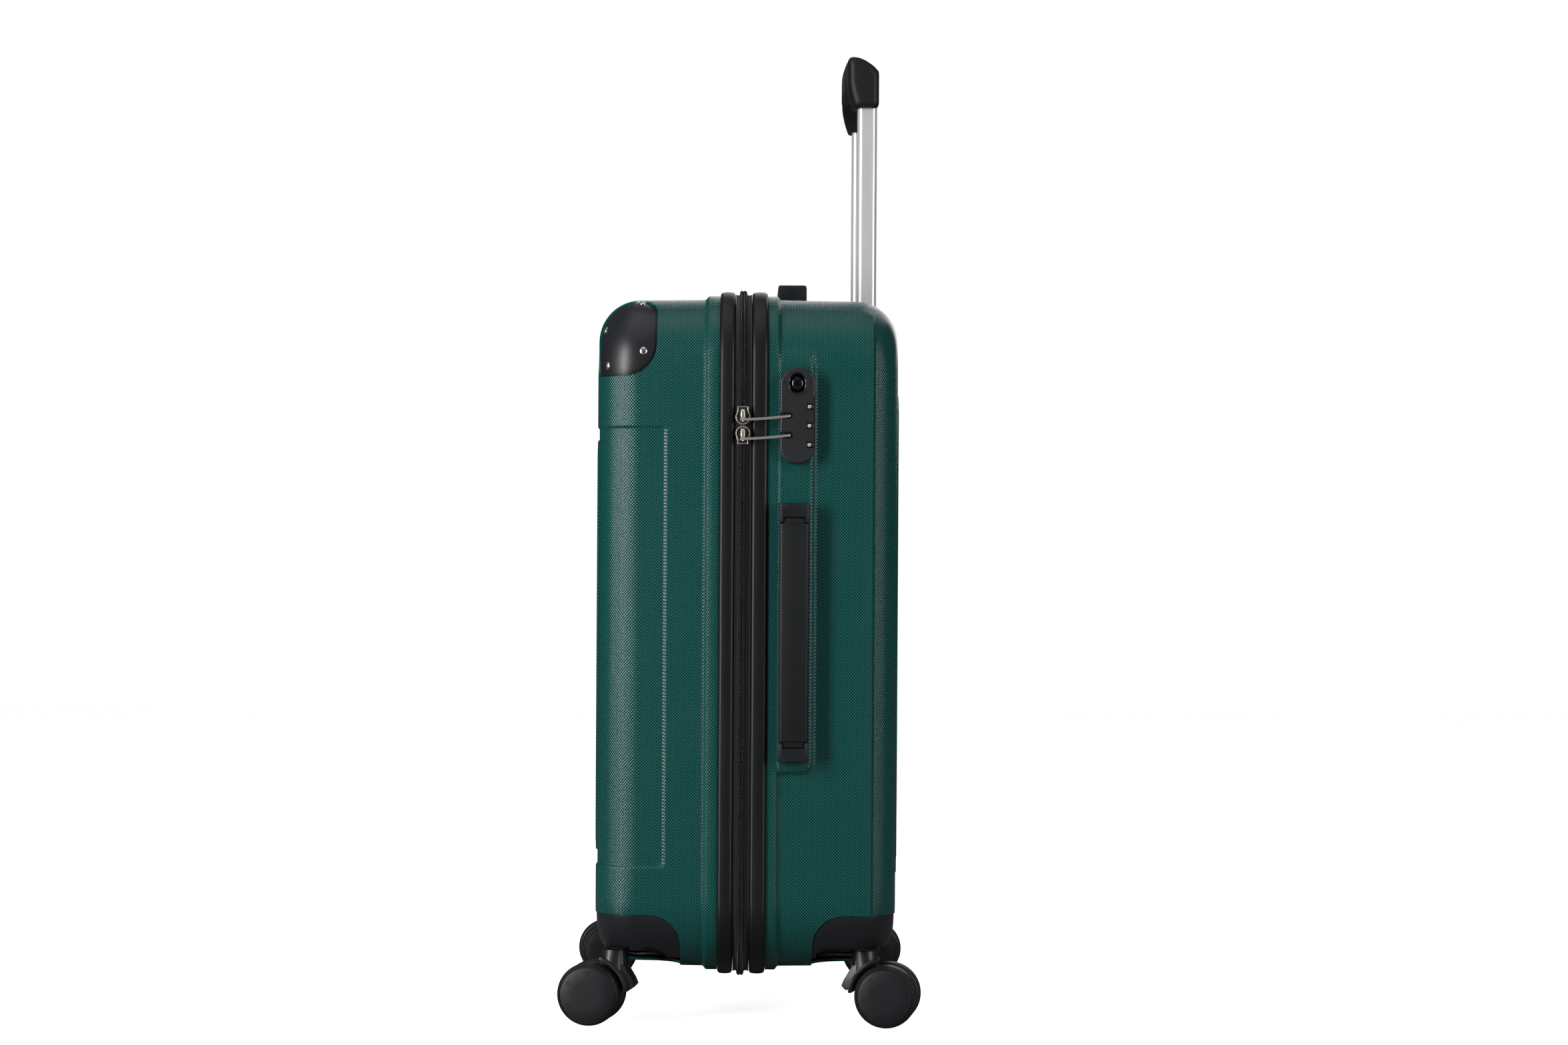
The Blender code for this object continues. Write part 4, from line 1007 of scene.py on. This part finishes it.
for name in ("upper", "lower"):
    z, tab, pullerZ = slider[name]
    low, high = slider["x"], slider["x"] + slider["thick"]
    bm = prism(sliderOutline(z, tab), "X", low, high)
    bmesh.ops.recalc_face_normals(bm, faces=bm.faces)
    top = [f for f in bm.faces if all(abs(v.co.x - high) < 1e-7 for v in f.verts)]
    bmesh.ops.inset_region(bm, faces=top, thickness=0.0006, depth=0.0)
    inner = bmesh.ops.inset_region(bm, faces=top, thickness=0.00025, depth=-0.00035)
    for face in bm.faces:
        face.material_index = 1 if face in top else 0
    plate = bmToObject("slider" + name.capitalize(), bm)
    plate.data.materials.append(nickelPlate)
    plate.data.materials.append(smokyNickel)
    bevelled(plate, 0.00016, 2, 40)
    finishPiece(plate, None, "rear_case", ["slider_" + name], angle=40)
    base = pullerZ + 0.0013
    outline = [(high + out, base + up) for out, up in (
        (-0.0004, 0.0), (-0.0004, 0.0078), (0.0016, 0.0078), (0.0034, 0.0068), (0.0043, 0.0050),
        (0.0045, 0.0))]
    bm = prism(outline, "Y", -0.0017, 0.0017)
    bridge = bmToObject("sliderBridge" + name.capitalize(), bm)
    bevelled(bridge, 0.0007, 4, 25)
    pin = bmToObject("pin", prism(arc((slider["pin"], 0.0), 0.0008, 0, 360, 20)[:-1], "Z",
                                  pullerZ - 0.0016, base + 0.002))
    combine(bridge, "UNION", pin)
    finishPiece(bridge, nickelPlate, "rear_case", angle=40)
    puller = copyNode("puller_" + name, "puller" + name.capitalize(), 0.00045, 3, 30)
    finishPiece(puller, nickelPlate, "puller_" + name, ["puller_" + name],
                shift=False, angle=40)
print("sliders")


# carrying handles

def handlePiece(node, name, material, body, width):
    piece = copyNode(node, name, width, 3, 30)
    return finishPiece(piece, material, body, [node], shift=False, angle=40)


for kind, ends in (("side", ("lower", "upper")), ("top", ("left", "right"))):
    for label in ends:
        handlePiece(f"{kind}_handle_cap_{label}", f"{kind}HandleCap{label.capitalize()}",
                    mouldedBlack, "rear_case", 0.0005)
    handlePiece(f"{kind}_handle_strap", kind + "HandleStrap", softGrip, kind + "_handle",
                0.0005)
print("handles")


# trolley

tube = {"x": 0.075, "y": 0.1083, "half": (0.0100, 0.0085), "wall": 0.0012, "round": 0.0046,
        "z": (0.521, 0.811)}
for side, label in ((1, "right"), (-1, "left")):
    centre = (side * tube["x"], tube["y"])
    outer = roundedRectangle(centre, tube["half"], tube["round"], 10)
    inner = roundedRectangle(centre, tuple(h - tube["wall"] for h in tube["half"]),
                             tube["round"] - tube["wall"], 10)
    rings = [[(a, b, z) for a, b in ring] for ring, z in (
        (outer, tube["z"][0]), (outer, tube["z"][1]), (inner, tube["z"][1]), (inner, tube["z"][0]))]
    piece = bmToObject("innerTube" + label.capitalize(), loftRings(rings, ends=False))
    finishPiece(piece, tubeMetal, "trolley_top", ["inner_tube_" + label])

grip = {"half": 0.0930, "front": 0.0912, "back": 0.1184, "top": 0.8415, "lobe": 0.7960,
        "bar": 0.8160, "bow": 0.0028, "drop": 0.0125, "button": 0.10205}


def gripSection(x, squeeze, bottom, waist):
    bow = -grip["bow"] * max(0.0, math.cos(math.pi * x / (2 * grip["half"])))
    y0, y1 = grip["front"] + bow + squeeze, grip["back"] + bow - squeeze
    low, top = bottom + squeeze, grip["top"] - squeeze
    r = 0.0034
    points = arc((y0 + r + waist, low + r), r, 270, 180, 4)
    points += [(y0 + waist * 0.55, low + 0.010), (y0 + waist * 0.1, low + 0.020)]
    points = [p for p in points if p[1] < top - 0.006]
    points += arc((y0 + 0.0042, top - 0.0046), 0.0042, 180, 105, 5)
    for share in (0.30, 0.42, 0.54, 0.66, 0.78, 0.88):
        y = y0 + (y1 - y0) * share
        points.append((y, top - 0.0003 - grip["drop"] * ((share - 0.12) / 0.88) ** 1.9))
    points += arc((y1 - 0.0032, top - grip["drop"] - 0.0022), 0.0032, 50, 0, 4)
    points += [(y1, low + 0.012)]
    points += arc((y1 - r, low + r), r, 360, 270, 4)
    return points


def resample(points, count):  # the same number of points on every section
    loop = np.array(points + [points[0]], float)
    along = np.concatenate([[0], np.cumsum(np.hypot(*np.diff(loop, axis=0).T))])
    want = np.linspace(0, along[-1], count + 1)[:-1]
    return list(zip(np.interp(want, along, loop[:, 0]), np.interp(want, along, loop[:, 1])))


stations = []
for i in range(7):
    t = math.radians(90 * i / 6)
    stations.append((grip["half"] - 0.006 + 0.006 * math.cos(t), 0.006 * (1 - math.sin(t))))
lobeEnd = 0.0585
halfStations = [(x, s, grip["lobe"]) for x, s in stations]
halfStations += [(x, 0.0, grip["lobe"]) for x in (0.080, 0.072, 0.064)]
for i in range(9):
    t = i / 8
    halfStations.append((lobeEnd + 0.003 - 0.022 * t, 0.0,
                         grip["lobe"] + (grip["bar"] - grip["lobe"]) * (1 - (1 - t) ** 2.2)))
halfStations += [(x, 0.0, grip["bar"]) for x in (0.030, 0.020, 0.010)]
allStations = [(-x, s, b) for x, s, b in halfStations] + [(0.0, 0.0, grip["bar"])]
allStations += halfStations[::-1]
rings = []
for x, squeeze, bottom in allStations:
    share = (grip["bar"] - bottom) / (grip["bar"] - grip["lobe"])
    ring = resample(gripSection(x, squeeze, bottom, 0.0048 * share), 48)
    rings.append([(x, y, z) for y, z in ring])
trolleyGrip = bmToObject("trolleyGrip", loftRings(rings))
for side in (1, -1):
    points = roundedRectangle((side * tube["x"], tube["y"]), (0.0104, 0.0089), 0.005, 8)
    cutPrism(trolleyGrip, points, "Z", 0.780, 0.8113)
cutPrism(trolleyGrip, roundedRectangle((0.0, grip["button"]), (0.0183, 0.0068), 0.005, 8),
         "Z", 0.8235, 0.850)
finishPiece(trolleyGrip, softGrip, "trolley_top", ["trolley_grip"], angle=42)
button = copyNode("trolley_button", "trolleyButton", 0.0006, 3, 30)
finishPiece(button, glossBlack, "trolley_button", ["trolley_button"], shift=False)
tray = copyNode("trolley_tray", "trolleyTray", 0.0006, 2, 40)
finishPiece(tray, mouldedBlack, "rear_case", ["trolley_tray"], shift=False)
for node, material in (("middle_tube_left", tubeMetal), ("middle_tube_right", tubeMetal),
                       ("outer_tube_left", tubeMetal), ("outer_tube_right", tubeMetal),
                       ("trolley_bracket", mouldedBlack)):
    cadPiece = frame["nodes"][node]
    cadPiece.data.materials.clear()
    cadPiece.data.materials.append(material)
print("trolley")


# corner guards and their rivets

guard = {"out": -0.0020, "flange": -0.0027, "flangeWide": 0.0015, "inside": -0.0042,
         "rivets": ((12.0, 0.0, 0.084), (0.0, 54.0, None), (52.0, 62.0, None), (72.0, 0.0, 0.086)),
         "rivetSize": 0.0034}


def guardPiece(side):
    plates = []
    for grow, slack in ((guard["flange"], -0.0002), (guard["out"], -guard["flangeWide"])):
        plate = cornerBlock(side, -1, pocket["inner"], 1, pocket["radius"], slack, 12)
        combine(plate, "INTERSECT", caseForm(front, -1, grow))
        plates.append(plate)
    piece = combine(plates[0], "UNION", plates[1])
    combine(piece, "DIFFERENCE", caseForm(front, -1, guard["inside"]))
    mergeFlat(piece, 0.3)
    return bevelled(piece, 0.0004, 2, 50)


def makeRivetTree():
    tree, given, result = nodeTree("domedRivets", [
        ("Radius", "NodeSocketFloat", 0.0035), ("Rise", "NodeSocketFloat", 0.45),
        ("Material", "NodeSocketMaterial", None)])
    ball = addNode(tree, "GeometryNodeMeshUVSphere",
                   {"Segments": 32, "Rings": 16, "Radius": given.outputs["Radius"]})
    scale = addNode(tree, "ShaderNodeCombineXYZ", {0: 1.0, 1: 1.0, 2: given.outputs["Rise"]})
    dome = addNode(tree, "GeometryNodeTransform", {"Geometry": ball, "Scale": scale})
    facing = addNode(tree, "GeometryNodeInputNamedAttribute", {"Name": "facing"},
                     data_type="FLOAT_VECTOR")
    turn = addNode(tree, "FunctionNodeAlignRotationToVector", {"Vector": facing}, axis="Z")
    spread = addNode(tree, "GeometryNodeInstanceOnPoints",
                     {"Points": given.outputs["Geometry"], "Instance": dome, "Rotation": turn})
    return endTree(tree, spread, given, result)


rivetTree = makeRivetTree()
rivetMetal = metal("rivetMetal", (0.80, 0.78, 0.74), 0.24, (900.0, 900.0, 900.0))


def pointCloud(name, places, facings):
    mesh = bpy.data.meshes.new(name)
    mesh.from_pydata(places, [], [])
    layer = mesh.attributes.new("facing", "FLOAT_VECTOR", "POINT")
    layer.data.foreach_set("vector", np.array(facings, np.float32).ravel())
    return toObject(name, mesh)


for side, label in ((1, "right"), (-1, "left")):
    piece = guardPiece(side)
    piece.name = "cornerGuard" + label.capitalize()
    finishPiece(piece, mouldedBlack, "front_case", ["corner_guard_" + label],
                angle=40)
    places, facings = [], []
    for turn, fold, depth in guard["rivets"]:
        a, t = math.radians(turn), math.radians(fold)
        r = case["edge"] + guard["out"]
        reach = case["corner"] - case["edge"] + r * math.cos(t)
        y = -depth if depth else front["face"] + case["edge"] - r * math.sin(t)
        core = (case["side"] - case["corner"], case["top"] - case["corner"])
        places.append((side * (core[0] + reach * math.cos(a)), y, core[1] + reach * math.sin(a)))
        facings.append((side * math.cos(a) * math.cos(t), -math.sin(t), math.sin(a) * math.cos(t)))
    rivets = pointCloud("guardRivets" + label.capitalize(), places, facings)
    applyTree(rivets, rivetTree, Radius=guard["rivetSize"], Rise=0.42, Material=rivetMetal)
    finishPiece(rivets, None, "front_case", angle=80)
print("guards")


# caster housings, forks and wheels

caster = {"stem": (0.170, 0.1065), "skirt": 0.0585, "recess": 0.0475, "ceiling": 0.0690,
          "collar": 0.0126, "collarBottom": 0.0650}
wheel = {"radius": 0.0267, "wide": 0.0185, "near": 0.0048, "bore": 0.0029, "disc": 0.0238,
         "ringAt": 0.0186, "ringRadius": 0.0014}
dimpleTurns = {"front_right_wheel_outer": -2.0, "rear_right_wheel_outer": 40.0}
recessProfile = [(caster["collar"], 0.040), (caster["collar"], caster["collarBottom"] + 0.0005),
                 (0.0131, 0.0668), (0.0142, 0.0678), (0.0162, 0.0685), (0.0195, 0.0690),
                 (0.0400, 0.0690), (0.0432, 0.0685), (0.0456, 0.0672), (0.0470, 0.0650),
                 (caster["recess"], 0.0620), (caster["recess"], 0.040)]


def housingPiece(end, towards, side):
    size = front if end == "front" else rear
    piece = cornerBlock(side, towards, housing[end], -1, housing["radius"], 0.0, 12)
    combine(piece, "INTERSECT", caseForm(size, towards, housing["sunk"]))
    cutBox(piece, (-0.300, -0.300, -0.010), (0.300, 0.300, caster["skirt"]))
    at = Matrix.Translation((side * caster["stem"][0], towards * caster["stem"][1], 0))
    bm = bmesh.new()
    ring = [bm.verts.new((r, 0.0, z)) for r, z in recessProfile]
    edges = [bm.edges.new(pair) for pair in zip(ring, ring[1:] + ring[:1])]
    bmesh.ops.spin(bm, geom=ring + edges, cent=(0, 0, 0), axis=(0, 0, 1), angle=math.tau, steps=72)
    cutter = bmToObject("cut", bm)
    cutter.data.transform(at)
    keep = [inner + housing["wall"] for inner in housing[end][:2]]  # walls towards the inside
    cutBox(cutter, (-keep[0], -0.3, -0.1), (keep[0], 0.3, 0.2))
    cutBox(cutter, (-0.3, -keep[1], -0.1), (0.3, keep[1], 0.2))
    combine(piece, "DIFFERENCE", cutter)
    plug = bmToObject("cut", prism(arc((0, 0), caster["collar"] + 0.0001, 0, 360, 72)[:-1], "Z",
                                   0.040, caster["collarBottom"]))
    plug.data.transform(at)
    combine(piece, "DIFFERENCE", plug)
    mergeFlat(piece, 0.3)
    return bevelled(piece, 0.0006, 3, 50)


def wheelProfile():
    r, near, wide = wheel["radius"], wheel["near"], wheel["wide"]
    far = near + wide
    points = [(0.0, near + 0.0050), (wheel["bore"], near + 0.0050), (wheel["bore"], near)]
    points += [(0.0170, near), (0.0190, near + 0.0004), (0.0228, near + 0.0004)]
    points += [(r - 0.0026 + 0.0026 * math.sin(t), near + 0.0030 - 0.0026 * math.cos(t))
               for t in (math.radians(a) for a in (0, 22, 45, 67, 90))]
    points += [(r - down, near + along) for down, along in (  # the seam of the tread
        (0.0, 0.0060), (0.0003, 0.0064), (0.0003, 0.0070), (0.0, 0.0074))]
    points += [(r - down, far - along) for down, along in (  # the rounded outer shoulder
        (0.0, 0.0062), (0.0002, 0.0048), (0.0007, 0.0036), (0.0013, 0.0029), (0.0016, 0.0027),
        (0.0018, 0.0020), (0.0021, 0.0008), (0.0026, 0.0002), (0.0030, 0.0))]
    points += [(wheel["disc"] + out, far - along) for out, along in (  # the groove of the disc
        (0.0002, 0.0), (0.0, 0.0009), (-0.0005, 0.0009), (-0.0007, 0.0002), (-0.0011, 0.0))]
    return points + [(0.0120, far + 0.0001), (0.0, far + 0.0002)]


def makeDimpleTree():  # small raised rims in a circle on the wheel's face
    tree, given, result = nodeTree("faceDimples", [
        ("Count", "NodeSocketInt", 6), ("Circle", "NodeSocketFloat", 0.0186),
        ("Radius", "NodeSocketFloat", 0.0021), ("Thick", "NodeSocketFloat", 0.0003),
        ("Material", "NodeSocketMaterial", None)])
    circle = addNode(tree, "GeometryNodeMeshCircle",
                     {"Vertices": given.outputs["Count"], "Radius": given.outputs["Circle"]})
    rim, thick = (addNode(tree, "GeometryNodeCurvePrimitiveCircle",
                          {"Resolution": sides, "Radius": given.outputs[label]})
                  for sides, label in ((16, "Radius"), (6, "Thick")))
    solid = addNode(tree, "GeometryNodeCurveToMesh", {"Curve": rim, "Profile Curve": thick})
    spread = addNode(tree, "GeometryNodeInstanceOnPoints", {"Points": circle, "Instance": solid})
    face = addNode(tree, "GeometryNodeTransform",
                   {"Geometry": spread, "Rotation": (0.0, math.radians(90), 0.0)})
    return endTree(tree, face, given, result, keepGiven=True)


dimpleTree = makeDimpleTree()


def wheelPiece(body):
    joint = joints[body + "_spin"]
    axis, at = Vector(joint["axis"]), Vector(joint["pos_m"])
    low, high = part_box(body)
    if ((low + high) / 2 - at).dot(axis) < 0:
        axis = -axis
    bm = turnedMesh(wheelProfile(), "X", 72)
    tyre = bmToObject("tyre", bm)
    rims = toObject("rims", bpy.data.meshes.new("rims"))
    applyTree(rims, dimpleTree, Circle=wheel["ringAt"], Radius=wheel["ringRadius"], Thick=0.00028,
              Material=wheelBlack)
    rims.data.transform(Matrix.Translation((wheel["near"] + wheel["wide"] + 0.00005, 0, 0))
                        @ Matrix.Rotation(math.radians(dimpleTurns.get(body, 15.0)), 4, "X"))
    piece = joinMeshes(body.replace("_", " ").title().replace(" ", ""), [tyre.data, rims.data])
    for used in (tyre, rims):
        bpy.data.objects.remove(used, do_unlink=True)
    up = Vector((0, 0, 1))
    across = up.cross(axis)
    turn = Matrix((axis, across, up)).transposed().to_4x4()
    piece.data.transform(Matrix.Translation(at) @ turn)
    if turn.determinant() < 0:
        piece.data.flip_normals()
    return piece


for end, towards in (("front", -1), ("rear", 1)):
    for side, label in ((1, "right"), (-1, "left")):
        name = f"{end}_{label}"
        piece = housingPiece(end, towards, side)
        piece.name = name.replace("_", " ").title().replace(" ", "") + "Housing"
        finishPiece(piece, mouldedBlack, end + "_case", [name + "_housing"],
                    angle=40)
        fork = copyNode(name + "_fork", piece.name.replace("Housing", "Fork"), 0.0004, 2, 40)
        finishPiece(fork, mouldedBlack, name + "_caster", [name + "_fork"],
                    shift=False, angle=40)
        axle = frame["nodes"][name + "_axle"]
        axle.data.materials.clear()
        axle.data.materials.append(axleSteel)
        for which in ("outer", "inner"):
            body = f"{name}_wheel_{which}"
            finishPiece(wheelPiece(body), wheelBlack, body, [body], shift=False,
                        angle=40)
print("casters")


# linings and the hinge gusset

def liningPiece(end, size, towards):
    inset, wall = 0.0054, 0.0008
    layers = []
    for depth in (inset, inset + wall):
        layer = caseForm(size, towards, -depth)
        trim = boxMesh((-0.3, min(towards * 0.0232, -towards * 0.3), -0.1),
                       (0.3, max(towards * 0.0232, -towards * 0.3), 0.8))
        if depth == inset:
            combine(layer, "DIFFERENCE", bmToObject("cut", trim))
        else:
            trim.free()
        layers.append(layer)
    piece = combine(layers[0], "DIFFERENCE", layers[1])
    for side in (1, -1):
        block = cornerBlock(side, towards, housing[end], -1, housing["radius"], 0.0012)
        combine(piece, "DIFFERENCE", block)
    if end == "rear":
        hole = boxMesh((trayBox[0].x - 0.001, trayBox[0].y - 0.001, 0.570),
                       (trayBox[1].x + 0.001, trayBox[1].y + 0.001, 0.700))
        combine(piece, "DIFFERENCE", bmToObject("hole", hole))
    piece.name = end + "Lining"
    return piece


for end, size, towards in (("front", front, -1), ("rear", rear, 1)):
    lining = liningPiece(end, size, towards)
    finishPiece(lining, liningCloth, end + "_case", [end + "_lining"], angle=50)

gussetLow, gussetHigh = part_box("hinge_gusset")
gusset = {"x": (gussetLow.x + gussetHigh.x) / 2, "reach": gussetHigh.y - 0.0002, "bend": 0.0045,
          "z": (gussetLow.z + 0.0002, gussetHigh.z - 0.0002), "thick": 0.0007}
acrossStrip = sorted({round(v, 5) for v in np.linspace(-gusset["reach"], gusset["reach"], 25)}
                     | {round(v, 5) for v in np.linspace(-gusset["bend"], gusset["bend"], 13)})
upStrip = np.linspace(*gusset["z"], 50)
points = np.array([[(gusset["x"], y, z) for z in upStrip] for y in acrossStrip])
uv = np.array([[(y, z) for z in upStrip] for y in acrossStrip])
strip = gridsToObject("hingeGusset", [(points, {"sheet": uv})])
solid = strip.modifiers.new("wall", "SOLIDIFY")
solid.thickness, solid.offset = gusset["thick"], 0.0
evaluated(strip)
strip.data.materials.clear()
strip.data.materials.append(gussetCloth)
smoothShade(strip.data, 40)
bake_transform(strip)
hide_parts("hinge_gusset")
print("linings and gusset")


# floor, light and camera

studio = {"back": 1.0, "around": 0.02, "above": 0.17, "floor": 0.16, "pale": 0.9, "glow": 0.90,
          "reach": 7.0, "level": -0.0004}


wide, level = studio["reach"], studio["level"]
floor = bmToObject("floor", boxMesh((-wide, -wide, level - 0.02), (wide, wide, level)))
floorLook, floorTree, floorShader = startMaterial("paleFloor", (studio["floor"],) * 3, 0.95)
pale = addNode(floorTree, "ShaderNodeBsdfDiffuse", {"Color": (*(studio["pale"],) * 3, 1)})
glow = addNode(floorTree, "ShaderNodeEmission", {"Strength": studio["glow"]})
both = addNode(floorTree, "ShaderNodeAddShader", {0: pale, 1: glow})
direct = addNode(floorTree, "ShaderNodeMixShader",
                 {0: addNode(floorTree, "ShaderNodeLightPath"), 1: floorShader.outputs[0], 2: both})
floorTree.links.new(direct, floorTree.nodes["Material Output"].inputs["Surface"])
floor.data.materials.append(floorLook)

world = bpy.data.worlds.new("studio")
world.use_nodes = True
bpy.context.scene.world = world
sky = world.node_tree
sky.nodes.clear()
seen = addNode(sky, "ShaderNodeBackground", {"Color": (1, 1, 1, 1), "Strength": studio["back"]})
lit = sky.nodes.new("ShaderNodeBackground")
upward = sky.nodes.new("ShaderNodeSeparateXYZ")
sky.links.new(addNode(sky, "ShaderNodeTexCoord"), upward.inputs[0])
rampTo(sky, lit.inputs["Strength"], upward.outputs[2], studio["around"], studio["above"])
choose = addNode(sky, "ShaderNodeMixShader",
                 {0: addNode(sky, "ShaderNodeLightPath"), 1: lit.outputs[0], 2: seen})
sky.links.new(choose, sky.nodes.new("ShaderNodeOutputWorld").inputs[0])


def softbox(name, place, aim, size, power, tint=(1, 1, 1)):
    lamp = bpy.data.lights.new(name, "AREA")
    lamp.shape = "RECTANGLE"
    lamp.size, lamp.size_y = size
    lamp.energy = power
    lamp.color = tint
    holder = bpy.data.objects.new(name, lamp)
    bpy.context.scene.collection.objects.link(holder)
    holder.location = place
    holder.rotation_euler = (Vector(aim) - Vector(place)).to_track_quat("-Z", "Y").to_euler()
    return holder


softbox("keyLeft", (1.55, -1.62, 0.70), (0.1, -0.05, 0.33), (0.42, 1.9), 54)
softbox("edgeLeft", (0.9, -2.1, 0.8), (0.0, 0.0, 0.40), (0.6, 1.8), 3)
softbox("edgeRight", (1.62, 1.75, 0.75), (0.1, 0.08, 0.36), (0.44, 1.9), 27)
softbox("backFill", (-2.0, 0.5, 1.4), (0.0, 0.0, 0.35), (1.5, 1.5), 12)
softbox("overhead", (0.4, -0.2, 2.4), (0.0, 0.0, 0.3), (1.8, 1.8), 7)

view = {"distance": 2.915, "height": 0.372, "lens": 73.8, "shift": (0.0268, 0.0425), "roll": 0.33}
cameraData = bpy.data.cameras.new("camera")
cameraData.lens = view["lens"]
cameraData.sensor_width = 36.0
cameraData.shift_x, cameraData.shift_y = view["shift"]
camera = bpy.data.objects.new("camera", cameraData)
bpy.context.scene.collection.objects.link(camera)
looking = Matrix.Rotation(math.radians(90), 4, "Z") @ Matrix.Rotation(math.radians(90), 4, "X")
camera.matrix_world = (Matrix.Translation((view["distance"] + caseX, 0, view["height"])) @ looking
                       @ Matrix.Rotation(math.radians(view["roll"]), 4, "Z"))
bpy.context.scene.camera = camera
bpy.context.scene.view_settings.view_transform = "Standard"
